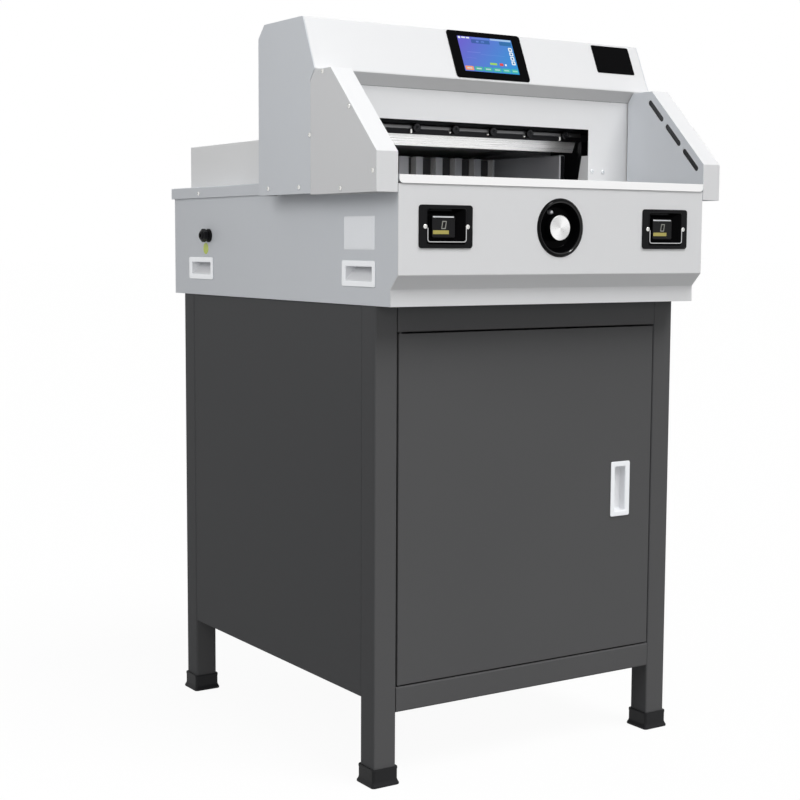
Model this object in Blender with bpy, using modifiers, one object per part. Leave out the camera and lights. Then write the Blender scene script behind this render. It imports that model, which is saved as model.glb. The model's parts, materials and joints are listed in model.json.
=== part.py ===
import math

import bmesh
import bpy
from mathutils import Matrix, Vector

# Driving dimensions in metres: X runs across, Y to the back, Z up from the floor
gap = 0.0003
overrun = 0.004

# Widths follow the mouth of the head, heights the stand and the table top
opening_width = 0.428
body_depth = 0.761
stand_height = 0.740
body_height = 0.193
head_height = 0.246

# Stand of square tube with sheet panels
stand_step = 0.002
stand_setback = 0.065
stand_rear_setback = 0.034
tube = 0.040
tube_wall = 0.002
tube_fillet = 0.003
boot_height = 0.029
boot_sole = 0.006
boot_wall = 0.0025
boot_lip = 0.0025
boot_lip_height = 0.003
boot_lip_rise = 0.006
boot_fillet = 0.004
panel_sheet = 0.0015
panel_flange = 0.020
panel_inset = 0.001
panel_bottom = 0.1345
rail_bottom = 0.1126
tray_rim = 0.018

# Cabinet door on two pivot pins
door_gap = 0.0025
door_depth = 0.018
door_sheet = 0.0012
door_return = 0.015
pivot_inset = 0.005
pin_radius = 0.0022
pin_reach = 0.005
pin_root = 0.006
pull_width = 0.041
pull_height = 0.0925
pull_depth = 0.013
pull_wall = 0.0015
pull_rim = 0.005
pull_proud = 0.002
pull_fillet = 0.003
pull_margin = 0.069

# Machine body of folded sheet
side_room = 0.028
skirt_setback = 0.020
crease_rise = 0.047
crease_drop = 0.021
bend = 0.003
base_sheet = 0.002
base_rim = 0.020
cup_width = 0.0955
cup_height = 0.0395
cup_depth = 0.024
cup_wall = 0.0015
cup_rim = 0.006
cup_proud = 0.002
cup_fillet = 0.004
cup_slope = 0.004
cup_front = 0.109
cup_rear_setback = 0.111
cup_rise = 0.048
gland_radius = 0.012
gland_reach = 0.018
gland_lip = 0.002
gland_bore = 0.004
gland_setback = 0.143
gland_rise = 0.106
vent_count = 12
vent_width = 0.006
vent_height = 0.060
vent_pitch = 0.016
vent_rise = 0.095

# Table, cutting stick and rear deck
table_thickness = 0.0125
table_proud = 0.002
table_inset = 0.0007
table_corner = 0.006
bed_margin = 0.069
bed_setback = 0.033
stick_width = 0.012
stick_depth = 0.008
deck_drop = 0.0009
deck_lip = 0.0195
deck_overhang = 0.008
deck_side_overhang = 0.0035
guard_margin = 0.018
guard_setback = 0.031
guard_rise = 0.074
guard_fillet = 0.002

# Head
head_overlap = 0.024
head_sheet = 0.0015
lip_y = 0.1776
slope_drop = 0.082
top_front_y = 0.2139
chamfer_y = 0.3379
chamfer_drop = 0.0206
head_rear = 0.3582
plate_y = 0.1924
lip_drop = 0.0184
opening_height = 0.0963
tab_depth = 0.030
tab_lean = 0.012
tab_height = 0.052

# Light barrier wings
wing_gap = 0.0009
wing_width = 0.0368
wing_overlap = 0.026
wing_knee_rise = 0.0327
wing_shoulder_y = 0.1295
wing_top_drop = 0.0025
wing_heel_rise = 0.0006
slot_length = 0.0505
slot_width = 0.0085
slot_inset = 0.0165
slot_first = 0.0036
slot_pitch = 0.0611
slot_count = 3

# Knife, its carrier and its drive
knife_y = 0.2493
knife_thickness = 0.009
knife_height = 0.0665
knife_bevel = 0.019
knife_overlap = 0.018
knife_rise = 0.0605
carrier_thickness = 0.011
carrier_margin = 0.018
carrier_height = 0.140
carrier_lip = 0.0125
carrier_lip_proud = 0.002
bolt_radius = 0.0065
bolt_reach = 0.008
bolt_pitch = 0.0770
bolt_rise = 0.0095
knife_stop_gap = 0.0006
rod_width = 0.012
rod_inset = 0.008
rod_clearance = 0.002
yoke_width = 0.090
yoke_height = 0.054
yoke_drop = 0.100
crank_pin_radius = 0.007
crank_thickness = 0.012
crank_rim = 0.013
crank_gap = 0.003
open_pivot_gap = 0.0065
gearbox_width = 0.090
gearbox_depth = 0.080
gearbox_rise = 0.045
gearbox_fillet = 0.004
motor_radius = 0.038
motor_length = 0.137

# Clamp
clamp_side_gap = 0.001
clamp_depth = 0.039
clamp_height = 0.054
clamp_rise = 0.063
clamp_gap = 0.0027
clamp_fillet = 0.003
column_radius = 0.010
column_inset = 0.063
column_height = 0.122
boss_radius = 0.018
boss_height = 0.028
spindle_radius = 0.008
spindle_end_gap = 0.0025
spindle_head = 0.028
bore_floor = 0.0045
press_motor_radius = 0.030
press_motor_height = 0.030

# Frame of the head
upright_gap = 0.006
upright_thickness = 0.015
upright_front = 0.200
upright_rear = 0.350
upright_fillet = 0.004
beam_depth = 0.070
beam_drop = 0.039
beam_height = 0.060

# Back gauge, its screw and the side guides
gauge_side_gap = 0.013
gauge_face = 0.444
gauge_depth = 0.040
gauge_height = 0.055
rib_width = 0.0150
rib_depth = 0.0165
rib_pitch = 0.0428
rib_start = 0.0255
rib_least = 0.002
middle_rib = 0.020
screw_radius = 0.008
screw_drop = 0.048
screw_front = 0.285
screw_setback = 0.019
nut_width = 0.028
nut_depth = 0.026
nut_wall = 0.006
stem_width = 0.012
slot_margin = 0.0012
track_front = 0.304
track_setback = 0.039
gauge_motor_size = 0.057
gauge_motor_length = 0.075
guide_gap = 0.001
guide_thickness = 0.012
guide_front = 0.270
guide_setback = 0.061
guide_height = 0.057
guide_fillet = 0.002

# Controls on the front panel
button_margin = 0.083
button_drop = 0.0746
bezel_width = 0.096
bezel_height = 0.0636
bezel_proud = 0.0025
bezel_edge = 0.0010
bezel_fillet = 0.005
funnel_width = 0.077
funnel_height = 0.0575
funnel_floor = 0.008
neck_width = 0.080
neck_height = 0.0605
neck_depth = 0.0095
button_width = 0.042
button_height = 0.033
button_front = 0.0045
button_edge = 0.0015
button_fillet = 0.003
button_length = 0.020
button_clearance = 0.0006
button_wall = 0.003
button_guide = 0.026
dish_radius = 0.0455
rim_proud = 0.003
rim_width = 0.0045
rim_edge = 0.001
dish_depth = 0.014
dish_floor_radius = 0.031
dish_wall = 0.0025
dish_neck_radius = 0.0415
wheel_drop = 0.0743
knob_radius = 0.020
knob_front = 0.001
knob_chamfer = 0.0012
knob_flutes = 30
knob_flute_depth = 0.0008
knob_gap = 0.0006
shaft_radius = 0.005
shaft_length = 0.014
shaft_clearance = 0.0005

# Display on the sloping face of the head
display_x = 0.0028
display_width = 0.144
display_height = 0.084
display_proud = 0.0015
display_depth = 0.016
display_lip = 0.004
display_fillet = 0.004
window_width = 0.1116
window_height = 0.065
window_depth = 0.001
glass_thickness = 0.001

# Widths that pieces share
knife_length = opening_width + 2 * knife_overlap
carrier_length = knife_length + 2 * carrier_margin
upright_inner = carrier_length / 2 + upright_gap
half_body = upright_inner + upright_thickness + side_room
wing_inner = half_body + wing_gap
half_head = wing_inner + wing_width
half_bed = half_body - bed_margin
half_guard = half_body - guard_margin
stand_width = 2 * (half_body - stand_step)
clamp_width = opening_width - 2 * clamp_side_gap
gauge_width = clamp_width - 2 * gauge_side_gap
column_spread = clamp_width / 2 - column_inset
rod_x = carrier_length / 2 - rod_inset
button_x = half_body - button_margin
pull_x = stand_width / 2 - tube - pull_margin

# Depths that pieces share
front = (rim_proud - body_depth - deck_overhang) / 2
body_rear = front + body_depth
leg_front = front + stand_setback
leg_rear = body_rear - stand_rear_setback
bed_rear = body_rear - bed_setback
guard_rear = body_rear - guard_setback
knife_back = front + knife_y + knife_thickness
clamp_front = knife_back + clamp_gap
clamp_y = clamp_front + clamp_depth / 2
rod_back = front + knife_y - gap
crank_y = rod_back + crank_gap

# Heights that pieces share
body_floor = stand_height + gap
table_top = stand_height + body_height
table_bottom = table_top - table_thickness
bed_level = table_top + gap
deck_height = table_top - deck_drop
crease_top = stand_height + crease_rise
guard_top = table_top + guard_rise
head_bottom = table_top - head_overlap
head_top = table_top + head_height
lip_z = head_top - slope_drop
plate_top = lip_z - lip_drop
opening_top = table_top + opening_height
chamfer_z = head_top - chamfer_drop
wing_bottom = table_top - wing_overlap
wing_knee = table_top + wing_knee_rise
wing_top = lip_z - wing_top_drop
knife_edge = table_top + knife_rise
crank_radius = (knife_rise - knife_stop_gap) / 2
yoke_z = table_top - yoke_drop
crank_z = yoke_z - crank_radius
clamp_bottom = table_top + clamp_rise
clamp_top = clamp_bottom + clamp_height
beam_top = head_top - beam_drop
screw_z = table_top - screw_drop
button_z = table_top - button_drop
wheel_z = table_top - wheel_drop
slope_length = math.hypot(top_front_y - lip_y, slope_drop)
funnel_hole_width = button_width + 2 * button_clearance
funnel_hole_height = button_height + 2 * button_clearance

colours = {
    "light_paint": ((0.72, 0.73, 0.74), 0.42, 0.0),
    "side_paint": ((0.62, 0.65, 0.68), 0.42, 0.0),
    "stand_paint": ((0.070, 0.070, 0.072), 0.50, 0.0),
    "rubber": ((0.012, 0.012, 0.013), 0.75, 0.0),
    "white_plastic": ((0.85, 0.85, 0.85), 0.40, 0.0),
    "black_plastic": ((0.012, 0.012, 0.013), 0.30, 0.0),
    "dark_casting": ((0.035, 0.036, 0.038), 0.55, 0.6),
    "ground_steel": ((0.70, 0.70, 0.71), 0.25, 1.0),
    "table_steel": ((0.80, 0.80, 0.80), 0.22, 1.0),
    "grey_aluminium": ((0.42, 0.43, 0.45), 0.40, 0.9),
    "red_plastic": ((0.55, 0.03, 0.02), 0.45, 0.0),
    "motor_paint": ((0.10, 0.11, 0.13), 0.50, 0.2),
    "display_glass": ((0.10, 0.13, 0.55), 0.08, 0.0),
}


def clear_scene():
    for obj in list(bpy.data.objects):
        bpy.data.objects.remove(obj, do_unlink=True)


def new_collection(name):
    collection = bpy.data.collections.new(name)
    bpy.context.scene.collection.children.link(collection)
    return collection


def make_materials():
    made = {}
    for name, (colour, roughness, metallic) in colours.items():
        made[name] = bpy.data.materials.new(name)
        made[name].use_nodes = True
        shader = made[name].node_tree.nodes["Principled BSDF"]
        shader.inputs["Base Color"].default_value = (*colour, 1)
        shader.inputs["Roughness"].default_value = roughness
        shader.inputs["Metallic"].default_value = metallic
    return made


def outward(shape):
    bmesh.ops.recalc_face_normals(shape, faces=shape.faces)
    if shape.calc_volume(signed=True) < 0:
        bmesh.ops.reverse_faces(shape, faces=shape.faces)


def place(name, mesh, location, paint):
    obj = bpy.data.objects.new(name, mesh)
    obj.location = location
    if paint is None:
        cutters.objects.link(obj)
        obj.hide_render = True
        obj.display_type = "WIRE"
        return obj
    mesh.materials.append(materials[paint])
    mesh.shade_smooth()
    mesh.set_sharp_from_angle(angle=math.radians(30))
    parts.objects.link(obj)
    return obj


def carry(empty_name, location, carried):
    empty = bpy.data.objects.new(empty_name, None)
    empty.location = location
    parts.objects.link(empty)
    for obj in carried:
        obj.location = obj.location - empty.location
        obj.parent = empty
    return empty


def fillet_edges(obj, width, segments=2):
    modifier = obj.modifiers.new("fillet", "BEVEL")
    modifier.width = width
    modifier.segments = segments
    modifier.limit_method = "ANGLE"
    modifier.angle_limit = math.radians(40)


def boolean(obj, other, operation):
    modifier = obj.modifiers.new(operation.lower() + "_" + other.name, "BOOLEAN")
    modifier.operation = operation
    modifier.object = other


def cut(obj, *others):
    for other in others:
        boolean(obj, other, "DIFFERENCE")
    return obj


def join(obj, *others):
    for other in others:
        boolean(obj, other, "UNION")
    return obj


# A box between two corners
def box(name, low, high, paint, fillet=0.0, segments=2):
    low = Vector(low)
    high = Vector(high)
    mesh = bpy.data.meshes.new(name)
    shape = bmesh.new()
    bmesh.ops.create_cube(shape, size=1, matrix=Matrix.Diagonal((*(high - low), 1)))
    shape.to_mesh(mesh)
    shape.free()
    obj = place(name, mesh, (low + high) / 2, paint)
    if fillet:
        fillet_edges(obj, fillet, segments)
    return obj


ways = {"left": (-1, 0, 0), "right": (1, 0, 0), "front": (0, -1, 0), "rear": (0, 1, 0)}
ways |= {"top": (0, 0, 1), "bottom": (0, 0, -1)}


# A box of sheet, left open on some sides, whose open rim can be turned in
def sheet_box(name, low, high, open_sides, sheet, paint, fillet=0.0, turned_in=0.0):
    low = Vector(low)
    high = Vector(high)
    mesh = bpy.data.meshes.new(name)
    shape = bmesh.new()
    bmesh.ops.create_cube(shape, size=1, matrix=Matrix.Diagonal((*(high - low), 1)))
    shape.normal_update()
    faces = [
        face for face in shape.faces
        if any(face.normal.angle(Vector(ways[side])) < math.radians(1) for side in open_sides)
    ]
    if turned_in:
        bmesh.ops.inset_region(shape, faces=faces, thickness=turned_in)
    bmesh.ops.delete(shape, geom=faces, context="FACES")
    shape.to_mesh(mesh)
    shape.free()
    obj = place(name, mesh, (low + high) / 2, paint)
    if fillet:
        fillet_edges(obj, fillet)
    solid = obj.modifiers.new("sheet", "SOLIDIFY")
    solid.thickness = sheet
    solid.offset = -1
    solid.use_even_offset = True
    return obj


# A round bar from one point to another
def bar(name, start, end, radius, paint, sides=24):
    start = Vector(start)
    end = Vector(end)
    mesh = bpy.data.meshes.new(name)
    shape = bmesh.new()
    turn = (end - start).to_track_quat("Z", "Y").to_matrix().to_4x4()
    bmesh.ops.create_cone(
        shape, cap_ends=True, segments=sides, radius1=radius, radius2=radius,
        depth=(end - start).length, matrix=turn,
    )
    shape.to_mesh(mesh)
    shape.free()
    return place(name, mesh, (start + end) / 2, paint)


# Directions of an outline's two axes and of its thickness
planes = {
    "XY": (Vector((1, 0, 0)), Vector((0, 1, 0)), Vector((0, 0, 1))),
    "XZ": (Vector((1, 0, 0)), Vector((0, 0, 1)), Vector((0, -1, 0))),
    "YZ": (Vector((0, 1, 0)), Vector((0, 0, 1)), Vector((1, 0, 0))),
}


def to_matrix(across, up, through):
    return Matrix((across, up, through)).transposed().to_4x4()


# A flat outline, with any inner loops as holes, of a thickness from low to high
def slab(name, plane, loops, low, high, paint):
    across, up, through = planes[plane]
    middle_u = (min(u for u, v in loops[0]) + max(u for u, v in loops[0])) / 2
    middle_v = (min(v for u, v in loops[0]) + max(v for u, v in loops[0])) / 2
    curve = bpy.data.curves.new(name, "CURVE")
    curve.dimensions = "2D"
    curve.fill_mode = "BOTH"
    curve.extrude = (high - low) / 2
    for loop in loops:
        spline = curve.splines.new("POLY")
        spline.points.add(len(loop) - 1)
        for point, (u, v) in zip(spline.points, loop):
            point.co = (u - middle_u, v - middle_v, 0, 1)
        spline.use_cyclic_u = True
    guide = bpy.data.objects.new(name + "_outline", curve)
    bpy.context.scene.collection.objects.link(guide)
    graph = bpy.context.evaluated_depsgraph_get()
    mesh = bpy.data.meshes.new_from_object(guide.evaluated_get(graph))
    bpy.data.objects.remove(guide)
    shape = bmesh.new()
    shape.from_mesh(mesh)
    bmesh.ops.remove_doubles(shape, verts=shape.verts, dist=gap / 100)
    bmesh.ops.transform(shape, matrix=to_matrix(across, up, through), verts=shape.verts)
    outward(shape)
    shape.to_mesh(mesh)
    shape.free()
    mesh.name = name
    middle = (low + high) / 2
    centre = across * middle_u + up * middle_v
    centre += Vector([abs(share) for share in through]) * middle
    return place(name, mesh, centre, paint)


# Faces of the machine: origin, then the directions across, up and inwards
def facing(side, origin):
    directions = {
        "front": ((1, 0, 0), (0, 0, 1), (0, 1, 0)),
        "rear": ((1, 0, 0), (0, 0, 1), (0, -1, 0)),
        "left": ((0, 1, 0), (0, 0, 1), (1, 0, 0)),
        "right": ((0, 1, 0), (0, 0, 1), (-1, 0, 0)),
        "below": ((1, 0, 0), (0, 1, 0), (0, 0, 1)),
    }
    return (Vector(origin), *(Vector(way) for way in directions[side]))


def slope_face(x, along):
    up = Vector((0, top_front_y - lip_y, head_top - lip_z)).normalized()
    inwards = Vector((0, up.z, -up.y))
    origin = Vector((x, front + lip_y, lip_z)) + up * along
    return origin, Vector((1, 0, 0)), up, inwards


# A rounded rectangle at a depth, as (across, up, in) points
def ring(width, height, radius, depth, steps=3, lift=0.0):
    points = []
    for corner in range(4):
        side_u = 1 if corner in (0, 3) else -1
        side_v = 1 if corner in (0, 1) else -1
        centre_u = side_u * (width / 2 - radius)
        centre_v = side_v * (height / 2 - radius) + lift
        for step in range(steps + 1 if radius else 1):
            angle = math.pi / 2 * (corner + (step / steps if radius else 0))
            points.append((
                centre_u + radius * math.cos(angle),
                centre_v + radius * math.sin(angle),
                depth,
            ))
    return points


# A skin over equal rings, capped at both ends or, when closed, running round
def loft(name, rings, face, paint, closed=False):
    origin, across, up, inwards = face
    mesh = bpy.data.meshes.new(name)
    shape = bmesh.new()
    loops = [
        [shape.verts.new(across * u + up * v + inwards * w) for u, v, w in points]
        for points in rings
    ]
    following = loops[1:] + loops[:1] if closed else loops[1:]
    for near, far in zip(loops, following):
        for index in range(len(near)):
            after = (index + 1) % len(near)
            shape.faces.new((near[index], near[after], far[after], far[index]))
    if not closed:
        shape.faces.new(loops[0])
        shape.faces.new(loops[-1])
    outward(shape)
    shape.to_mesh(mesh)
    shape.free()
    return place(name, mesh, origin, paint)


# A round piece: its profile's (radius, depth) points turn about the face's inward axis
def turned(name, profile, face, paint, steps=32):
    origin, across, up, inwards = face
    mesh = bpy.data.meshes.new(name)
    closed = all(radius > 0 for radius, depth in profile)
    points = [(radius, 0, depth) for radius, depth in profile]
    edges = [(index, index + 1) for index in range(len(points) - 1)]
    if closed:
        edges.append((len(points) - 1, 0))
    mesh.from_pydata(points, edges, [])
    obj = place(name, mesh, origin, paint)
    obj.matrix_world = Matrix.Translation(origin) @ to_matrix(up.cross(inwards), up, inwards)
    modifier = obj.modifiers.new("turn", "SCREW")
    modifier.steps = steps
    modifier.render_steps = steps
    modifier.use_merge_vertices = True
    modifier.merge_threshold = gap / 100
    modifier.use_smooth_shade = True
    return obj


# Points set off to the left of an open path by one distance
def offset_path(path, distance):
    moved = []
    for index, point in enumerate(path):
        normals = []
        for start, end in ((index - 1, index), (index, index + 1)):
            if start >= 0 and end < len(path):
                run_u = path[end][0] - path[start][0]
                run_v = path[end][1] - path[start][1]
                length = math.hypot(run_u, run_v)
                normals.append((-run_v / length, run_u / length))
        first = normals[0]
        last = normals[-1]
        scale = distance / (1 + first[0] * last[0] + first[1] * last[1])
        moved.append((
            point[0] + scale * (first[0] + last[0]),
            point[1] + scale * (first[1] + last[1]),
        ))
    return moved


# The path with its corners turned into arcs, as sheet bends
def bent(path, radius=bend, steps=3):
    points = [path[0]]
    for before, corner, after in zip(path, path[1:], path[2:]):
        corner = Vector(corner)
        back = (Vector(before) - corner).normalized()
        ahead = (Vector(after) - corner).normalized()
        turn = math.pi - back.angle(ahead)
        reach = radius * math.tan(turn / 2)
        centre = corner + (back + ahead).normalized() * (radius / math.cos(turn / 2))
        start = corner + back * reach - centre
        end = corner + ahead * reach - centre
        for step in range(steps + 1):
            spoke = start.lerp(end, step / steps).normalized() * radius
            points.append(tuple(centre + spoke))
    return [*points, path[-1]]


# Sheet folded along a (Y, Z) path, its thickness to the left of the path
def folded_sheet(name, path, low_x, high_x, sheet, paint):
    mesh = bpy.data.meshes.new(name)
    shape = bmesh.new()
    origin = Vector(((low_x + high_x) / 2, path[0][0], path[0][1]))
    near, far = (
        [shape.verts.new(Vector((x, y, z)) - origin) for y, z in path] for x in (low_x, high_x)
    )
    for index in range(len(path) - 1):
        shape.faces.new((near[index], far[index], far[index + 1], near[index + 1]))
    shape.to_mesh(mesh)
    shape.free()
    obj = place(name, mesh, origin, paint)
    solid = obj.modifiers.new("sheet", "SOLIDIFY")
    solid.thickness = sheet
    solid.offset = 1
    solid.use_even_offset = True
    return obj


def rectangle(low_u, low_v, high_u, high_v):
    return [(low_u, low_v), (high_u, low_v), (high_u, high_v), (low_u, high_v)]


def rounded(width, height, radius, centre_u=0.0, centre_v=0.0, steps=3):
    return [(u + centre_u, v + centre_v) for u, v, w in ring(width, height, radius, 0, steps)]


# A quarter of a circle, from its sideways end to its upright end
def quarter(centre_u, centre_v, reach_u, reach_v, steps=4):
    turns = [math.pi / 2 * step / steps for step in range(steps + 1)]
    return [(centre_u + reach_u * math.cos(t), centre_v + reach_v * math.sin(t)) for t in turns]


def circle(radius, centre_u, centre_v, sides=24):
    return [
        (
            centre_u + radius * math.cos(2 * math.pi * step / sides),
            centre_v + radius * math.sin(2 * math.pi * step / sides),
        )
        for step in range(sides)
    ]


# A slot with round ends along a direction, as points of an outline
def slot(length, width, centre_u, centre_v, angle, steps=4):
    points = []
    for end in (1, -1):
        for step in range(steps + 1):
            turn = -math.pi / 2 + math.pi * step / steps + (0 if end > 0 else math.pi)
            u = end * (length - width) / 2 + width / 2 * math.cos(turn)
            v = width / 2 * math.sin(turn)
            points.append((
                centre_u + u * math.cos(angle) - v * math.sin(angle),
                centre_v + u * math.sin(angle) + v * math.cos(angle),
            ))
    return points


def make_stand():
    leg_reach = stand_width / 2 - tube / 2
    inner = tube - 2 * tube_wall
    sleeve = tube + 2 * gap + 2 * boot_wall
    lip = sleeve + 2 * boot_lip
    for side, x in (("left", -leg_reach), ("right", leg_reach)):
        for end, y in (("front", leg_front + tube / 2), ("rear", leg_rear - tube / 2)):
            slab(
                f"leg_{end}_{side}", "XY",
                [rounded(tube, tube, tube_fillet, x, y), rounded(inner, inner, tube_wall, x, y)],
                boot_sole + gap, stand_height, "stand_paint",
            )
            socket = tube + 2 * gap
            loft(
                f"boot_{end}_{side}",
                [
                    ring(lip, lip, boot_fillet, 0),
                    ring(lip, lip, boot_fillet, boot_lip_height),
                    ring(sleeve, sleeve, boot_fillet, boot_lip_height + boot_lip_rise),
                    ring(sleeve, sleeve, boot_fillet, boot_height),
                    ring(socket, socket, tube_fillet, boot_height),
                    ring(socket, socket, tube_fillet, boot_sole),
                ],
                facing("below", (x, y, 0)), "rubber",
            )


def make_stand_panels():
    top = stand_height - gap
    low_y = leg_front + tube + gap
    high_y = leg_rear - tube - gap
    outer = stand_width / 2 - panel_inset
    inner = outer - panel_flange
    sheet_box(
        "stand_left_panel", (-outer, low_y, panel_bottom), (-inner, high_y, top), ("right",),
        panel_sheet, "stand_paint",
    )
    sheet_box(
        "stand_right_panel", (inner, low_y, panel_bottom), (outer, high_y, top), ("left",),
        panel_sheet, "stand_paint",
    )
    half = stand_width / 2 - tube - gap
    rear = leg_rear - panel_inset
    sheet_box(
        "stand_rear_panel", (-half, rear - panel_flange, panel_bottom), (half, rear, top),
        ("front",), panel_sheet, "stand_paint",
    )
    margin = panel_sheet + gap
    floor = panel_bottom + margin
    sheet_box(
        "cabinet_floor", (margin - outer, low_y + margin, floor),
        (outer - margin, high_y - margin, floor + tray_rim), ("top",), panel_sheet, "stand_paint",
    )


def make_rails():
    half = stand_width / 2 - tube - gap
    inner = tube - 2 * tube_wall
    pin_x = -(stand_width / 2 - tube - door_gap - pivot_inset)
    pin_y = leg_front + pivot_inset
    tops = {"bottom": rail_bottom + tube, "top": stand_height}
    for end, top in tops.items():
        loops = [
            rounded(size, size, fillet, leg_front + tube / 2, top - tube / 2)
            for size, fillet in ((tube, tube_fillet), (inner, tube_wall))
        ]
        rail = slab(f"front_rail_{end}", "YZ", loops, -half, half, "stand_paint")
        if end == "bottom":
            low = top - pin_root
            high = top + door_gap + door_sheet + pin_reach
        else:
            low = top - tube - door_gap - door_sheet - pin_reach
            high = top - tube + pin_root
        pin = bar(f"pivot_pin_{end}", (pin_x, pin_y, low), (pin_x, pin_y, high), pin_radius, None, 16)
        join(rail, pin)


def make_door():
    width = stand_width - 2 * tube - 2 * door_gap
    bottom = rail_bottom + tube + door_gap
    top = stand_height - tube - door_gap
    middle_z = (bottom + top) / 2
    door = sheet_box(
        "cabinet_door", (-width / 2, leg_front, bottom),
        (width / 2, leg_front + door_depth, top), ("rear",), door_sheet, "stand_paint",
        turned_in=door_return,
    )
    neck_size = (pull_width - pull_rim, pull_height - pull_rim)
    hole = loft(
        "pull_hole",
        [
            ring(neck_size[0] + 2 * gap, neck_size[1] + 2 * gap, pull_fillet, -overrun),
            ring(neck_size[0] + 2 * gap, neck_size[1] + 2 * gap, pull_fillet, door_sheet + overrun),
        ],
        facing("front", (pull_x, leg_front, middle_z)), None,
    )
    pin_x = -(width / 2 - pivot_inset)
    pin_y = leg_front + pivot_inset
    pivot_holes = [
        bar(
            f"pivot_hole_{end}", (pin_x, pin_y, z - overrun), (pin_x, pin_y, z + overrun),
            pin_radius + gap, None, 16,
        )
        for end, z in (("bottom", bottom), ("top", top))
    ]
    cut(door, hole, *pivot_holes)
    mouth = (pull_width - 2 * pull_rim, pull_height - 2 * pull_rim)
    floor = (mouth[0] - pull_rim, mouth[1] - pull_rim)
    pull = loft(
        "door_pull",
        [
            ring(floor[0], floor[1], pull_fillet, pull_depth - pull_wall),
            ring(mouth[0], mouth[1], pull_fillet, -pull_proud),
            ring(pull_width - pull_wall, pull_height - pull_wall, pull_fillet, -pull_proud),
            ring(pull_width, pull_height, pull_fillet, -pull_proud / 2),
            ring(pull_width, pull_height, pull_fillet, -gap),
            ring(neck_size[0], neck_size[1], pull_fillet, -gap),
            ring(neck_size[0], neck_size[1], pull_fillet, pull_depth),
        ],
        facing("front", (pull_x, leg_front, middle_z)), "white_plastic",
    )
    carry("door_axis", (pin_x, pin_y, middle_z), (door, pull))


def front_profile():
    return bent([
        (front, table_bottom - gap),
        (front, crease_top),
        (front + skirt_setback, crease_top - crease_drop),
        (front + skirt_setback, body_floor),
    ])


def make_body():
    sheet = panel_sheet
    profile = front_profile()
    panel = folded_sheet("front_panel", profile, -half_body, half_body, sheet, "light_paint")
    holes = [
        loft(
            f"{side}_button_hole",
            [
                ring(neck_width + 2 * gap, neck_height + 2 * gap, bezel_fillet, -overrun),
                ring(neck_width + 2 * gap, neck_height + 2 * gap, bezel_fillet, overrun),
            ],
            facing("front", (sign * button_x, front, button_z)), None,
        )
        for side, sign in (("left", -1), ("right", 1))
    ]
    holes.append(
        bar(
            "wheel_hole", (0, front - overrun, wheel_z), (0, front + overrun, wheel_z),
            dish_neck_radius + gap, None, 32,
        )
    )
    cut(panel, *holes)
    inner_front = offset_path(profile, sheet + gap)
    step = front + head_rear + gap
    outline = [
        (step, table_bottom - gap), *inner_front, (body_rear, body_floor),
        (body_rear, deck_height - sheet - gap),
        (step, deck_height - sheet - gap),
    ]
    cup_neck = (cup_width - cup_rim + 2 * gap, cup_height - cup_rim + 2 * gap)
    for side, sign in (("left", -1), ("right", 1)):
        loops = [outline]
        for y in (front + cup_front, body_rear - cup_rear_setback):
            loops.append(rounded(*cup_neck, cup_fillet, y, stand_height + cup_rise))
        if side == "left":
            neck = gland_radius - gland_lip
            loops.append(circle(neck + gap, body_rear - gland_setback, stand_height + gland_rise))
        low, high = sorted((sign * half_body, sign * (half_body - sheet)))
        slab(f"body_{side}_panel", "YZ", loops, low, high, "side_paint")
    inner_half = half_body - sheet - gap
    vent_z = stand_height + vent_rise
    vents = [
        slot(vent_height, vent_width, (index - (vent_count - 1) / 2) * vent_pitch, vent_z, math.pi / 2)
        for index in range(vent_count)
    ]
    slab(
        "body_rear_panel", "XZ",
        [rectangle(-inner_half, body_floor, inner_half, deck_height - sheet - gap), *vents],
        body_rear - sheet, body_rear, "side_paint",
    )
    sheet_box(
        "base_pan", (-inner_half, front + skirt_setback + sheet + gap, body_floor),
        (inner_half, body_rear - sheet - gap, body_floor + base_rim), ("top",), base_sheet, "side_paint",
    )


def make_carry_cups():
    mouth = (cup_width - 2 * cup_rim, cup_height - 2 * cup_rim)
    floor = (mouth[0] - cup_rim, mouth[1] - cup_rim)
    neck = (cup_width - cup_rim, cup_height - cup_rim)
    for side, sign in (("left", -1), ("right", 1)):
        for end, y in (("front", front + cup_front), ("rear", body_rear - cup_rear_setback)):
            loft(
                f"carry_cup_{end}_{side}",
                [
                    ring(*floor, cup_fillet / 2, cup_depth - cup_wall, lift=cup_slope / 2),
                    ring(*mouth, cup_fillet / 2, -cup_proud),
                    ring(cup_width - cup_wall, cup_height - cup_wall, cup_fillet, -cup_proud),
                    ring(cup_width, cup_height, cup_fillet, -cup_proud / 2),
                    ring(cup_width, cup_height, cup_fillet, -gap),
                    ring(*neck, cup_fillet, -gap),
                    ring(*neck, cup_fillet, cup_depth),
                ],
                facing(side, (sign * half_body, y, stand_height + cup_rise)), "white_plastic",
            )


def make_gland():
    neck = gland_radius - gland_lip
    turned(
        "mains_gland",
        [
            (gland_bore, -gland_reach),
            (gland_bore, gland_reach),
            (neck, gland_reach),
            (neck, -gap),
            (gland_radius, -gap),
            (gland_radius, gland_lip - gland_reach),
            (gland_radius - gland_lip, -gland_reach),
        ],
        facing("left", (-half_body, body_rear - gland_setback, stand_height + gland_rise)),
        "black_plastic", 24,
    )


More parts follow.
